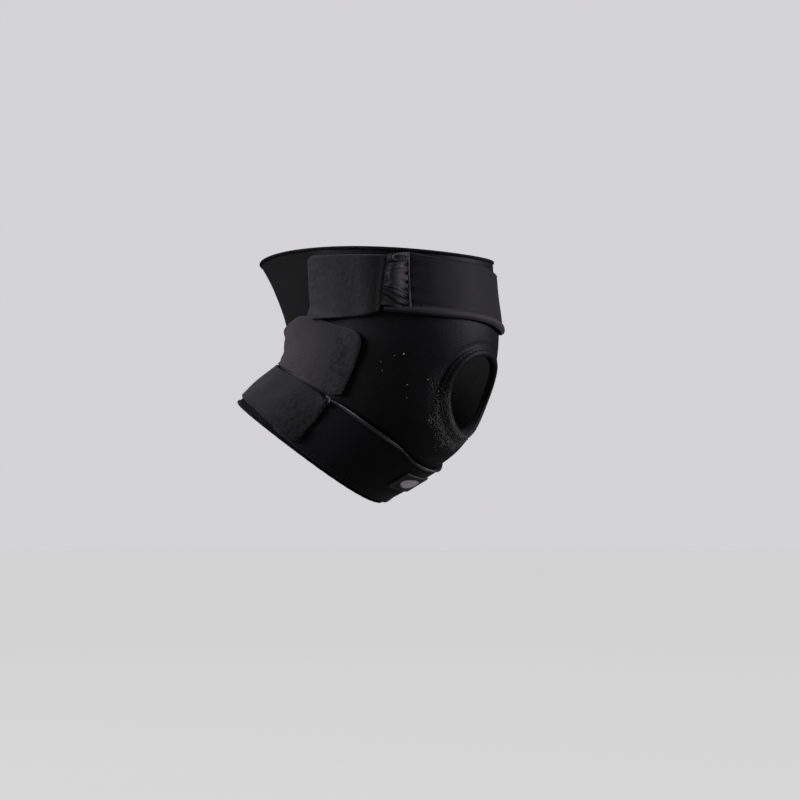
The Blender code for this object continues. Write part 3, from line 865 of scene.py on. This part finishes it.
# Dents are a place and a width down the seam; creases, a place, tilt, depth and width
gather = {
    "start": 49.7,
    "spread": 9.3,
    "width": 0.0380,
    "flat": (0.0125, 0.0385),
    "ribs": [(0.0, 0.025, 1.02, 4.7), (0.5, 0.033, 0.96, 7.2), (1.0, 0.042, 0.89, 9.6)],
    "dents": [(0.22, 0.022), (0.37, 0.026), (0.52, 0.024), (0.66, 0.026), (0.80, 0.020), (0.92, 0.016)],
    "dentDepth": 0.0016,
    "creases": [
        (0.99, 0.23, 0.0012, 0.017),
        (0.86, 0.20, 0.0009, 0.015),
        (0.74, 0.13, 0.0006, 0.014),
        (0.30, -0.04, 0.0003, 0.020),
    ],
    "underTab": 0.0022,
}
upperTab = {
    "start": 59.4,
    "spread": 40.6,
    "width": 0.0410,
    "length": 0.052,
    "ribs": [
        (0.00, 0.045, 0.92, 9.5),
        (0.38, 0.046, 0.98, 5.0),
        (0.72, 0.046, 1.00, 6.0),
        (0.91, 0.045, 1.00, 9.0),
        (1.00, 0.060, 0.95, 11.0),
    ],
}
midStrap = {
    "standsOn": "lowerTab",
    "start": 81.5,
    "spread": 173.5,
    "width": 0.0420,
    "length": 0.190,
    "ribs": [
        (0.000, 2.4, 0.96, -2.5),
        (0.009, 2.3, 1.00, -2.0),
        (0.032, 1.7, 1.04, 0.0),
        (0.092, 0.9, 1.02, 1.5),
        (0.161, 1.5, 1.02, 1.5),
        (0.210, 1.4, 1.02, 0.0),
        (0.262, 1.2, 0.96, 0.0),
        (0.363, 1.0, 0.85, 0.0),
        (0.568, 1.0, 0.68, 0.0),
        (0.772, 1.0, 0.78, 0.0),
        (0.873, 1.2, 0.85, 0.0),
        (1.000, 1.0, 0.94, 0.0),
    ],
}
lowerTab = {
    "standsOn": "rim",
    "start": 75.5,
    "spread": 184.1,
    "width": 0.0440,
    "length": 0.192,
    "ribs": [
        (0.000, 3.6, 1.04, 9.0),
        (0.014, 2.6, 1.08, 9.0),
        (0.079, 3.0, 1.05, 7.5),
        (0.157, 3.0, 1.01, 3.5),
        (0.220, 2.8, 0.98, 1.0),
        (0.296, 2.5, 0.95, 0.0),
        (0.568, 2.2, 0.93, 0.0),
        (0.800, 2.2, 0.95, 0.0),
        (1.000, 1.0, 1.00, 0.0),
    ],
}
lowerStrap = {
    "standsOn": "rim",
    "start": 93.5,
    "spread": -193.5,
    "width": 0.0500,
    "length": 0.205,
    "ribs": [
        (0.000, 1.5, 0.85, 3.0),
        (0.045, 1.0, 0.99, 0.0),
        (0.110, 1.0, 1.03, 0.0),
        (0.180, 1.0, 1.03, 0.0),
        (0.275, 1.0, 1.02, 0.0),
        (0.335, 1.0, 0.97, 0.0),
        (0.385, 1.0, 0.92, 0.0),
        (0.500, 1.0, 0.91, 0.0),
        (0.620, 1.0, 0.95, 0.0),
        (0.740, 1.0, 1.00, 0.0),
        (1.000, 1.0, 0.88, 0.0),
    ],
}


def placeOn(strap, along, across):
    edge, breadth, lean = flowing(strap["ribs"], along).T
    angle = strap["start"] + along * strap["spread"]
    length = breadth * strap["width"]
    if "standsOn" not in strap:
        middle = edge + shareOf(length / 2, angle, edge)
        drop = shareOf(length, angle + lean / 2, middle)
        return angle + across * lean, edge + across * drop
    base = lowerEdge(angle) if strap["standsOn"] == "rim" else topOf(lowerTab, angle)
    foot = base - shareOf(edge * clearance, angle, base)
    middle = foot - shareOf(length / 2, angle, foot)
    rise = shareOf(length, angle + lean / 2, middle)
    return angle + (1 - across) * lean, foot - (1 - across) * rise


# How far down a strap's top edge lies at an angle
def topOf(strap, angle, until=1.0, before=None):
    return np.interp(angle, *placeOn(strap, np.linspace(0, until, 90), 0), left=before)


# Narrows the cloth towards its ends, which rounds its corners: radii are (top, bottom)
def roundCorners(across, fromEnd, width, radii):
    insets = []
    for radius in radii:
        near = np.clip(radius - fromEnd, 0, radius)
        insets.append((radius - np.sqrt(np.maximum(radius**2 - near**2, 0))) / width)
    top, bottom = insets
    return top + across * (1 - top - bottom)


def makeUpperStrap():
    strap = upperStrap
    bm, along, across, x, y = strapGrid(strap, 230, 44, 0.35)
    hemShare = strap["hem"] / strap["width"]
    inHem = np.clip((across - 1 + hemShare) / hemShare, 0, 1)
    height = strapTop + 0.00022 * swells(x, y, 0.030, 21)
    height += strap["hemRise"] * np.sin(math.pi * (0.10 + 0.80 * inHem)) * (inHem > 0)
    # Stitched grooves along the hem, and the rim of the strap turned down
    for at, depth in ((1 - hemShare * 1.03, 0.00055), (0.055, 0.00030)):
        height -= depth * bell(y, at * strap["width"], 0.00055)
    height -= edgeDrop(y, 0.0008) + edgeDrop(strap["width"] - y, 0.0012)
    # Pulls that run out from the gathered seam
    pulls = np.sin(y / strap["width"] * 2 * math.pi * 4.3 + 0.8 * swells(x, y, 0.02, 4))
    height += 0.00030 * np.exp(-x / 0.007) * pulls
    height += 0.0004 * bell(x, 0.012, 0.006) - 0.0006 * np.exp(-x / 0.0010) * smoothStep(inHem, 0.2, 0.0)
    # A slow rise and fall of the free lower edge
    wave = 0.5 + 0.5 * np.sin(x / 0.048 * 2 * math.pi)
    height += 0.0007 * smoothStep(across, 0.6, 1.0) * smoothStep(x, 0.02, 0.07) * wave
    # Painted highlight: paler along the folded hem, with two faint pale lines where it nears the gather, and lighter
    # towards the strap's far end
    pale = (0.25 + 0.75 * smoothStep(x, 0.0, 0.012)) * smoothStep(inHem, 0.05, 0.35)
    pale *= (0.75 + 0.25 * np.sin(x / 0.09)) * (1 - 0.4 * smoothStep(x, 0.11, 0.16))
    nearGather = (inHem > 0) * smoothStep(x, 0.004, 0.014) * smoothStep(x, 0.07, 0.02)
    pale += (0.9 * bell(inHem, 0.10, 0.10) + 0.5 * bell(inHem, 0.62, 0.10)) * nearGather
    setMask(bm, "lit", np.clip(pale + 0.16 * smoothStep(x, 0.02, 0.09), 0, 1))
    # The hem runs on past the strap's end, under the foot of the gather
    tongue = smoothStep(inHem, 0.0, 0.12) * smoothStep(x, 0.014, 0.0)
    angle, down = placeOn(strap, along, across)
    angle += tongue * strap["tongue"]
    down += tongue * (0.004 + 0.010 * (1 - inHem))
    height -= 0.0013 * tongue**2
    place, slot = (angle, down), "strap_nylon"
    piece = laidPiece("upperStrap", bm, (x, y), place, height, strapNylon, slot, "upper_strap", **strapShell)


# The gathered column between the seam and the tab: puffed, dimpled along its seam and
# creased aslant near its foot, with a curl at its head
def makeGather():
    bm = flatGrid(44, 150)
    along, across = spotsOf(bm)
    x, y = along * gather["flat"][0], across * gather["flat"][1]
    rise = np.sin(math.pi * np.clip(0.16 + 0.46 * along, 0, 1)) ** 0.8
    height = 0.0009 + rise * (0.0020 + 0.0003 * np.cos((across - 0.42) * 7))
    for at, wide in gather["dents"]:
        height -= gather["dentDepth"] * bell(along, 0.02, 0.22) * bell(across - 0.06 * along, at, wide)
    for at, tilt, depth, wide in gather["creases"]:
        line = across - at + tilt * along + 0.008 * np.sin(along * 8 + at * 40)
        height -= depth * rise * (bell(line, 0, wide) - 0.5 * bell(line, -1.8 * wide, 1.1 * wide))
    # The curl at the head, with a deep tuck under it
    height += rise * (0.0005 * bell(across, 0.07, 0.05) - 0.0012 * bell(across - 0.03 * along, 0.150, 0.014))
    height += 0.00014 * swells(x, y, 0.0042, 31) + 0.00006 * swells(x, y, 0.0018, 32)
    height = np.maximum(height, 0.0007) - edgeDrop(x, 0.0007)
    height += (gather["underTab"] - height) * smoothStep(along, 0.60, 1.0)
    # The edge wanders, as gathered cloth does
    across = across + 0.010 * np.sin(along * 7 + 1) * smoothStep(across, 0.8, 1.0)
    along = along + 0.05 * np.sin(across * 21) * np.sin(math.pi * along)
    # Painted highlight on the seam-side half of the column, weaker towards its foot
    setMask(bm, "lit", 0.80 * bell(along, 0.24, 0.24) * (1 - 0.6 * smoothStep(across, 0.62, 0.80)))
    place = placeOn(gather, along * 1.08 - 0.03, across * 0.985)
    cloth, height, slot = (x * 1.4, y * 1.7), layerGap + height, "strap_nylon"
    piece = laidPiece("gatheredPatch", bm, cloth, place, height, gatherNylon, slot, "gathered_patch", 0.0007)


def makeUpperTab():
    tab = upperTab
    bm, along, across, x, y = strapGrid(tab, 84, 72, 0.55)
    rounded = roundCorners(across, tab["length"] - x, tab["width"], (0.0028, 0.0030))
    rounded = roundCorners(rounded, x, tab["width"], (0.0012, 0.0035))
    angle, down = placeOn(tab, along, rounded)
    # Its lower end climbs onto the mid strap, and its sewn end rides up on the gather
    climbed = topOf(midStrap, angle, until=0.5, before=1) - shareOf(0.0015, angle, down)
    lap = smoothStep(down, climbed - shareOf(0.0060, angle, down), climbed)
    height = tabTop + lap * strapTop + 0.0007 * smoothStep(x, 0.0055, 0.0006)
    height += 0.00030 * swells(x, y * 0.35, 0.020, 41) + 0.00006 * swells(x, y, 0.0032, 42)
    height -= edgeDrop(np.minimum.reduce([x, tab["length"] - x, y, tab["width"] - y]), 0.0011)
    # Two soft ridges from top to bottom, where the tab was pressed down with a thumb
    height += 0.00022 * bell(x, 0.017, 0.006) + 0.0002 * bell(x, 0.041, 0.008)
    # Painted light and shade: pale crushed patches grow towards the far end, and painted shade darkens the sewn end
    # and a band between the two ridges
    setMask(bm, "lit", smoothStep(x, 0.010, 0.040) * 0.5 + 0.15)
    setMask(bm, "shaded", smoothStep(x, 0.019, 0.001) * 0.95 + 0.20 * bell(x, 0.031, 0.006))
    place, slot = (angle, down), "tab_pile"
    piece = laidPiece("upperTab", bm, (x, y), place, height, upperPile, slot, "upper_tab", **tabShell)


def makeMidStrap():
    strap = midStrap
    bm, along, across, x, y = strapGrid(strap, 210, 56, 0.5)
    rounded = roundCorners(across, x, strap["width"], (0.0036, 0.0036))
    angle, down = placeOn(strap, along, rounded)
    edge = np.minimum.reduce([x, y, strap["width"] - y])
    height = strapTop + 0.00028 * swells(x, y, 0.024, 51) - edgeDrop(edge, 0.0010)
    # The end lifts a little off the sleeve, more at its upper corner
    height += 0.0010 * smoothStep(x, 0.011, 0.001) * (0.5 + 0.5 * np.cos(across * 4.0))
    fluffed = smoothStep(x, 0.036, 0.020) * smoothStep(edge, 0.0, 0.002)
    height += fluffed * 0.00012 * swells(x, y, 0.0030, 52)
    # Folds where it crosses the back of the knee
    behind = smoothStep(np.cos(np.radians(angle - 180)), 0.35, 0.95)
    height -= 0.0006 * behind * (0.5 + 0.5 * np.sin(across * 17 + 1.2 * np.sin(along * 9)))
    setMask(bm, "lit", smoothStep(x + 0.002 * swells(x, y, 0.01, 53), 0.031, 0.020))
    edgeOfDots = 0.053 - 0.021 * across + 0.0012 * swells(x, y, 0.01, 54)
    setMask(bm, "smooth", smoothStep(x, 0.020, 0.029) * smoothStep(x, edgeOfDots, edgeOfDots - 0.0025))
    rubbed = smoothStep(x, 0.017, 0.008) * smoothStep(x, 0.0010, 0.0035)
    setMask(bm, "shaded", rubbed * smoothStep(across, 0.05, 0.25))
    place = (angle, down)
    piece = laidPiece("midStrap", bm, (x, y), place, height, knitStrap, "knit", "mid_strap", **strapShell)


def makeLowerStrap():
    strap = lowerStrap
    bm, along, across, x, y = strapGrid(strap, 220, 60, 0.35)
    fromFoot = strap["width"] - y
    height = strapTop + 0.00030 * swells(x, y, 0.028, 71)
    height -= edgeDrop(np.minimum(y, fromFoot), 0.0009)
    # The upper edge is turned over into a thin lip, best seen in two stretches
    lip = smoothStep(x, 0.006, 0.014) * (1 - 0.55 * bell(x, 0.072, 0.012))
    height += lip * (0.0009 * bell(y, 0.0010, 0.0008) - 0.0004 * bell(y, 0.0031, 0.0008))
    waved = smoothStep(x, 0.03, 0.05) * smoothStep(x, 0.19, 0.16)
    height += 0.00018 * waved * np.sin(across * 13 + 2 * np.sin(along * 11))
    height -= 0.0003 * (bell(fromFoot, 0.0018, 0.0005) + bell(fromFoot, 0.0040, 0.0005))
    # Painted highlight along the lip, strongest in two stretches
    bright = bell(x, 0.024, 0.016) + 0.75 * bell(x, 0.098, 0.012) + 0.15
    setMask(bm, "lit", np.clip(lip * bell(y, 0.0008, 0.0007) * bright, 0, 1))
    place, slot = placeOn(strap, along, across), "strap_nylon"
    piece = laidPiece("lowerStrap", bm, (x, y), place, height, shinNylon, slot, "lower_strap", **strapShell)


# The lower tab's outer end lies over the lower strap's end, and comes down past it
def underLowerTab(angle):
    strapEnd = lowerStrap["start"] + lowerStrap["ribs"][0][3]
    margin, run = degreesOf(0.0015, strapEnd, 1.0), degreesOf(0.0240, strapEnd, 1.0)
    return layerGap + strapTop * smoothStep(angle, strapEnd + margin + run, strapEnd + margin)


def makeLowerTab():
    tab = lowerTab
    bm, along, across, x, y = strapGrid(tab, 210, 60, 0.5)
    fromFoot = tab["width"] - y
    rounded = roundCorners(across, x, tab["width"], (0.0008, 0.0050))
    # Its cut end is uneven, in metres turned to degrees
    uneven = 0.00055 * swells(y, y * 0, 0.006, 64, 8) + 0.00025 * swells(y, y * 0, 0.0018, 65, 8)
    uneven += 0.0012 * bell(y, 0.0080, 0.0016) - 0.0016 * bell(y, 0.0016, 0.0014)
    angle, down = placeOn(tab, along, rounded)
    angle += smoothStep(x, 0.004, 0.0) * uneven * 780
    height = underLowerTab(angle) + tabWall + 0.00030 * swells(x, y, 0.022, 61)
    height -= edgeDrop(np.minimum.reduce([x, y, fromFoot]), 0.0010)
    height += smoothStep(x, 0.045, 0.020) * 0.00014 * swells(x, y, 0.0034, 62)
    # The upper corner of the end is curled and frayed into a small knot
    corner = np.hypot(x - 0.0022, y - 0.0018)
    height += 0.0015 * bell(corner, 0, 0.0030) * (1 + 0.5 * swells(x, y, 0.0016, 63))
    height += 0.0007 * smoothStep(x, 0.008, 0.001) * (0.5 + 0.5 * np.cos(across * 5.0 + 0.5))
    # A sewn groove runs along the lower edge
    height -= 0.00045 * bell(fromFoot, 0.0022, 0.0005)
    setMask(bm, "lit", smoothStep(x, 0.040, 0.012) * 0.95 * smoothStep(across, 0.10, 0.5))
    dark = smoothStep(x, 0.018, 0.002) * smoothStep(across, 0.52, 0.90)
    setMask(bm, "shaded", np.clip(dark + 0.35 * smoothStep(fromFoot, 0.0030, 0.0010), 0, 1))
    place, slot = (angle, down), "tab_pile"
    piece = laidPiece("lowerTab", bm, (x, y), place, height, calfPile, slot, "lower_tab", **tabShell)


makeUpperStrap()
makeGather()
makeUpperTab()
makeMidStrap()
makeLowerStrap()
makeLowerTab()
print("straps made")

# The label on the shin: a woven patch with a sewn border and a plain pale oval
label = {"length": 0.0260, "height": 0.0185, "angle": 0.0, "down": 0.897, "rise": 0.00125, "oval": (0.0088, 0.0052)}


def labelHalf(inset):
    halfAngle = degreesOf(label["length"] / 2 - inset, label["angle"], label["down"])
    return halfAngle, float(shareOf(label["height"] / 2 - inset, label["angle"], label["down"])[0])


def makeLabelPatch():
    bm = flatGrid(48, 36)
    along, across = spotsOf(bm)
    x, y = along * label["length"], across * label["height"]
    edge = np.minimum.reduce([x, label["length"] - x, y, label["height"] - y])
    height = strapTop + label["rise"] - edgeDrop(edge, 0.0006) + 0.0003 * bell(edge, 0.0010, 0.0006)
    setMask(bm, "border", smoothStep(edge, 0.0020, 0.0014))
    wide, high = label["oval"]
    oval = np.hypot((x - label["length"] / 2) / wide, (y - label["height"] / 2) / high)
    setMask(bm, "lit", smoothStep(oval, 1.04, 0.94))
    halfAngle, halfDown = labelHalf(0)
    place = (label["angle"] + halfAngle * (1 - 2 * along), label["down"] + halfDown * (2 * across - 1))
    cloth, slot = (x, y), "label_rubber"
    piece = laidPiece("labelPatch", bm, cloth, place, height, labelFace, slot, "label_patch", 0.0007, 0.0002)


makeLabelPatch()


# Folded edges as thin flat rolls; lit is a painted highlight along them
def makeWelt(name, place, height, halfWidth, lit):
    points, outward = pathOnLeg(*place, height)
    count = len(points)
    bm = flatGrid(count - 1, 8)
    x, y = spotsOf(bm)
    at, around = x * (count - 1), 2 * math.pi * y
    side = np.cross(np.gradient(points, axis=0), outward)
    side /= np.linalg.norm(side, axis=1)[:, None]

    def sampled(rows):
        return np.stack([np.interp(at, range(count), column) for column in rows.T], axis=1)

    half = (halfWidth * np.sqrt(np.clip(np.minimum(x, 1 - x) * 14, 0.02, 1)))[:, None]
    spots = sampled(points) + half * np.cos(around)[:, None] * sampled(side)
    spots += 0.8 * half * np.sin(around)[:, None] * sampled(outward)
    setMask(bm, "lit", np.interp(at, range(count), np.broadcast_to(lit, (count,))))
    setCloth(bm, x * 0.2, y * 0.004)
    return rolledPiece(name, bm, spots, weltNylon)


def makeWelts():
    along = np.linspace(0.035, 0.93, 170)
    at = along * lowerStrap["length"]
    lit = bell(at, 0.020, 0.011) + 0.55 * bell(at, 0.098, 0.010) + 0.06
    makeWelt("lowerStrapFold", placeOn(lowerStrap, along, 0), strapTop - 0.0001, 0.00045, lit)
    across = np.linspace(0.0, 0.985, 60)
    place, lit = placeOn(upperStrap, np.full(60, 0.0015), across), 0.10 + 0.06 * np.sin(across * 9)
    makeWelt("outerSeamWelt", place, strapTop - 0.0001, 0.00055, lit)
    # A curl of cloth at the gather's head, and a knot at the lower tab's upper corner, each with a painted highlight
    turn = np.linspace(-0.35 * math.pi, 1.25 * math.pi, 40)
    place = 53.4 + 3.4 * np.cos(turn), 0.060 - 0.017 * np.sin(turn)
    makeWelt("gatherCurl", place, layerGap + 0.0036, 0.00060, 0.20)
    share = np.linspace(0, 1, 30)
    place = 86.2 - 3.6 * share + 0.8 * np.sin(share * 9), 0.734 + 0.045 * share + 0.006 * np.sin(share * 12)
    makeWelt("tabEndCurl", place, layerGap + 0.0049, 0.00050, 0.18 + 0.5 * bell(share, 0.55, 0.2))


makeWelts()


# Seams: rows of stitches along the straps' edges and across their sewn ends
def edgeLine(strap, along, fromEdge, height):
    return pathOnLeg(*placeOn(strap, along, 1 - fromEdge / strap["width"]), height)


def endLine(strap, along, height):
    return pathOnLeg(*placeOn(strap, np.full(60, along), np.linspace(0.03, 0.97, 60)), height)


hemLine = edgeLine(upperStrap, np.linspace(0.015, 0.985, 160), upperStrap["hem"] * 1.04, strapTop - 0.0001)
makeSeam("hemStitches", "strap_nylon", [hemLine])
sewnEnds = [endLine(strap, along, strapTop) for strap in (upperStrap, midStrap) for along in (0.985, 0.965)]
makeSeam("innerSeamStitches", "strap_nylon", sewnEnds)
tabLines = [
    edgeLine(lowerTab, np.linspace(0.06, 0.99, 160), 0.0022, tabTop - 0.0002),
    endLine(lowerTab, 0.985, tabTop),
    endLine(lowerStrap, 0.985, strapTop),
]
makeSeam("tabEdgeStitches", "tab_pile", tabLines)
shinAlong = np.linspace(0.02, 0.98, 170)
shinLines = [edgeLine(lowerStrap, shinAlong, fromEdge, strapTop - 0.0001) for fromEdge in (0.0018, 0.0040)]
makeSeam("shinEdgeStitches", "strap_nylon", shinLines)
ringGrown = ring["width"] * 0.80 - ring["inset"]
ringLine = pathOnLeg(*ovalPlace(np.linspace(0, 2 * math.pi, 160), grown=ringGrown), layerGap + 0.0006)
ringSeam = makeSeam("ringStitches", "neoprene", [ringLine], pitch=0.0026)
backLines = [pathOnLeg(180.0 + side, np.linspace(0.02, 0.98, 120), -0.0003) for side in (-1.1, 1.1)]
backSeam = makeSeam(
    "backSeamStitches", "neoprene", backLines, length=0.0024, pitch=0.0022, slant=math.radians(38)
)
labelAcross, labelDeep = labelHalf(0.0010)
labelSteps = np.linspace(0, 4, 121)
labelAngles = np.interp(labelSteps, range(5), labelAcross * np.array([1, -1, -1, 1, 1]))
labelDowns = np.interp(labelSteps, range(5), label["down"] + labelDeep * np.array([-1, -1, 1, 1, -1]))
labelLine = pathOnLeg(labelAngles, labelDowns, strapTop + 0.0014)
makeSeam("labelStitches", "label_rubber", [labelLine], length=0.0013, pitch=0.0017, radius=0.00016)
print("seams made")

# Frayed fibres along the free ends of the brushed straps
fray = {"length": 0.0011, "radius": 0.00005, "perEnd": 420, "seed": 8}


def addFibre(bm, spot, way, length):
    turn = way.to_track_quat("Z", "Y").to_matrix()
    stamp(bm, "fibre", spot + way * length / 2, turn, (fray["radius"], fray["radius"], length))


def makeFray(name, strap, height, reach):
    chance = random.Random(fray["seed"] + len(name))
    bm = bmesh.new()
    along = np.array([abs(chance.gauss(0, reach)) for _ in range(fray["perEnd"])])
    across = np.array([chance.uniform(0.04, 0.96) for _ in range(fray["perEnd"])])
    angle, down = placeOn(strap, along, across)
    points, outward = pathOnLeg(angle, down, height)
    for point, up, ahead in zip(points, outward, pathOnLeg(angle - 1, down, height)[0]):
        forward, up = Vector(ahead - point).normalized(), Vector(up)
        way = forward * chance.uniform(-0.2, 1.0) + up * chance.uniform(0.2, 0.9)
        way += forward.cross(up) * chance.uniform(-0.8, 0.8)
        addFibre(bm, Vector(point), way.normalized(), fray["length"] * chance.uniform(0.5, 1.3))
    return newPiece(name, bm, [looseFibre])


makeFray("midStrapFray", midStrap, layerGap + 0.0021, 0.012)
makeFray("lowerTabFray", lowerTab, strapTop + 0.0021, 0.010)

# Pilled fibres below the opening, thinning out towards both ends and away from it
pills = {
    "count": 2700,
    "radii": (0.00020, 0.00050),
    "turns": (94, 224),
    "fades": (34, 54),
    "from": 0.0010,
    "reach": 0.0138,
    "seed": 12,
}


def makePills():
    chance = random.Random(pills["seed"])
    (first, last), (fadeIn, fadeOut) = pills["turns"], pills["fades"]
    turns, reaches = [], []
    while len(turns) < pills["count"]:
        turn, reach = chance.uniform(first, last), chance.uniform(0, 1)
        inside = max(0, min(1, (turn - first) / fadeIn, (last - turn) / fadeOut))
        ragged = (1 + 0.12 * math.sin(turn * 0.21) + 0.05 * math.sin(turn * 0.57)) * chance.uniform(0.82, 1.18)
        if chance.random() < inside * (1 - reach**3):
            turns.append(math.radians(turn))
            reaches.append(pills["from"] + reach * pills["reach"] * ragged * (0.50 + 0.50 * inside))
    turns, reaches = np.array(turns), np.array(reaches)
    across = np.clip(reaches / ring["width"], 0, 1)
    crown = ringCrown(across) * np.sin(np.arccos(np.abs(2 * across - 1))) ** 0.8
    height = np.where(across < 0.97, layerGap + crown, 0)
    points, outward = pathOnLeg(*ovalPlace(turns, grown=reaches), height)
    bm = bmesh.new()
    for point, up in zip(points, outward):
        size, up = chance.uniform(*pills["radii"]), Vector(up)
        squash = (size * chance.uniform(0.8, 1.5), size * chance.uniform(0.7, 1.1), size * 0.75)
        turn = up.to_track_quat("Z", "Y").to_matrix() @ Matrix.Rotation(chance.uniform(0, 3), 3, "Z")
        stamp(bm, "pill", Vector(point) + up * size * 0.15, turn, squash)
    return newPiece("pilledFibres", bm, [pillFibre])


# A few specks of lint, each a small ball with three loose fibres: angle, down, share of size
lint = {
    "radius": 0.00045,
    "fibres": (0.0008, 0.0018),
    "seed": 3,
    "spots": [
        (57.0, 0.5025, 1.0),
        (40.5, 0.5775, 0.8),
        (50.5, 0.61, 0.6),
        (48.5, 0.6525, 0.45),
        (67.5, 0.5475, 0.4),
        (65.5, 0.58, 0.4),
        (61.5, 0.515, 0.4),
        (31.5, 0.695, 0.8),
        (236.0, 0.3, 0.6),
        (290.0, 0.6, 0.6),
    ],
}


def makeLint():
    chance = random.Random(lint["seed"])
    bm = bmesh.new()
    for angle, down, share in lint["spots"]:
        spot, up = (Vector(rows[0]) for rows in pathOnLeg([angle], [down], 0.0002))
        size = lint["radius"] * share
        stamp(bm, "pill", spot + up * size * 0.5, Matrix.Identity(3), (size, size, size))
        for _ in range(3):
            way = Vector([chance.uniform(-1, 1) for _ in range(3)])
            way = (way - up * way.dot(up) * 0.8).normalized()
            addFibre(bm, spot, way, share * chance.uniform(*lint["fibres"]))
    return newPiece("lintSpecks", bm, [lintFibre])


pilledFibres = makePills()
lintSpecks = makeLint()
for shape in stampShapes.values():
    bpy.data.meshes.remove(shape)
print("fray and lint made")

# Studio: a pale floor well below the brace, which is held where a leg would hold it
studio = {
    "floorHeight": -0.30,
    "floorSize": 7.0,
    "floorTone": (0.04, 0.04, 0.04),
    "paper": 0.635,
    "bounce": (0.12, 0.12, 0.12),
    "backdrop": (0.66, 0.65, 0.665),
    "air": (0.95, 0.97, 1.0),
    "airStrength": 0.07,
    "lampColour": (1.0, 0.955, 1.0),
}


def makeFloor():
    bm = bmesh.new()
    bmesh.ops.create_circle(bm, cap_ends=True, segments=96, radius=studio["floorSize"])
    bmesh.ops.translate(bm, verts=bm.verts, vec=(0, 0, studio["floorHeight"]))
    mesh = bpy.data.meshes.new("studioFloor")
    bm.to_mesh(mesh)
    bm.free()
    floor = bpy.data.objects.new("studioFloor", mesh)
    bpy.context.scene.collection.objects.link(floor)
    material, tree = newMaterial("paleFloor", specular=0.1)
    finishSurface(material, studio["floorTone"], 0.9)
    # The floor shows as lit paper, yet throws little of its light back up
    surface = tree.nodes["Principled BSDF"].outputs[0]
    paper = addNode(tree, "Emission", {"Color": (1, 1, 1), "Strength": studio["paper"]}).outputs[0]
    bright = addNode(tree, "AddShader", {0: surface, 1: paper}).outputs[0]
    dim = addNode(tree, "BsdfDiffuse", {"Color": studio["bounce"]}).outputs[0]
    seen = addNode(tree, "LightPath").outputs["Is Camera Ray"]
    mix = addNode(tree, "MixShader", {0: seen, 1: dim, 2: bright}).outputs[0]
    feed(tree.nodes["Material Output"].inputs["Surface"], mix)
    mesh.materials.append(material)


def makeAir():
    world = bpy.data.worlds.new("studioAir")
    world.use_nodes = True
    bpy.context.scene.world = world
    tree = world.node_tree
    tree.nodes.clear()
    shown = addNode(tree, "Background", {"Color": studio["backdrop"], "Strength": 1.0}).outputs[0]
    lit = addNode(tree, "Background", {"Color": studio["air"], "Strength": studio["airStrength"]}).outputs[0]
    seen = addNode(tree, "LightPath").outputs["Is Camera Ray"]
    mix = addNode(tree, "MixShader", {0: seen, 1: lit, 2: shown}).outputs[0]
    addNode(tree, "OutputWorld", {"Surface": mix})


# Softboxes: name, place, aim, size, watts
softboxes = [
    ("sideBox", (-0.78, 1.11, 0.65), (0, 0.02, 0.0), 0.8, 20.0),
    ("kneeBox", (0.38, -1.30, 0.36), (0, -0.03, 0.03), 0.55, 13.0),
    ("innerBox", (0.75, 0.55, 1.30), (0, 0, 0), 0.9, 9.0),
    ("topBox", (0.0, 0.1, 1.8), (0, 0, -0.3), 2.0, 4.0),
]


def makeLights():
    for name, place, aim, size, power in softboxes:
        light = bpy.data.lights.new(name, "AREA")
        light.shape, light.size, light.size_y, light.energy = "RECTANGLE", size, size, power
        light.color = studio["lampColour"]
        lamp = bpy.data.objects.new(name, light)
        lamp.location = place
        lamp.rotation_euler = (Vector(aim) - Vector(place)).to_track_quat("-Z", "Y").to_euler()
        bpy.context.scene.collection.objects.link(lamp)


# The camera stands where the photograph was taken from
shot = {"azimuth": -58, "elevation": -3, "distance": 1.25, "lens": 85.2, "right": 0.00924, "up": -0.0132}


def makeCamera():
    a, e = math.radians(shot["azimuth"]), math.radians(shot["elevation"])
    back = Vector((math.sin(a) * math.cos(e), -math.cos(a) * math.cos(e), math.sin(e)))
    right = Vector((math.cos(a), math.sin(a), 0))
    up = back.cross(right)
    data = bpy.data.cameras.new("shotCamera")
    data.sensor_width, data.lens = 36, shot["lens"]
    data.clip_start, data.clip_end = 0.05, 30
    camera = bpy.data.objects.new("shotCamera", data)
    eye = right * shot["right"] + up * shot["up"] + back * shot["distance"]
    camera.matrix_world = Matrix.Translation(eye) @ Matrix((right, up, back)).transposed().to_4x4()
    bpy.context.scene.collection.objects.link(camera)
    bpy.context.scene.camera = camera


makeFloor()
makeAir()
makeLights()
makeCamera()
bpy.context.scene.view_settings.view_transform = "Standard"
bpy.context.scene.view_settings.look = "None"
print("studio made")
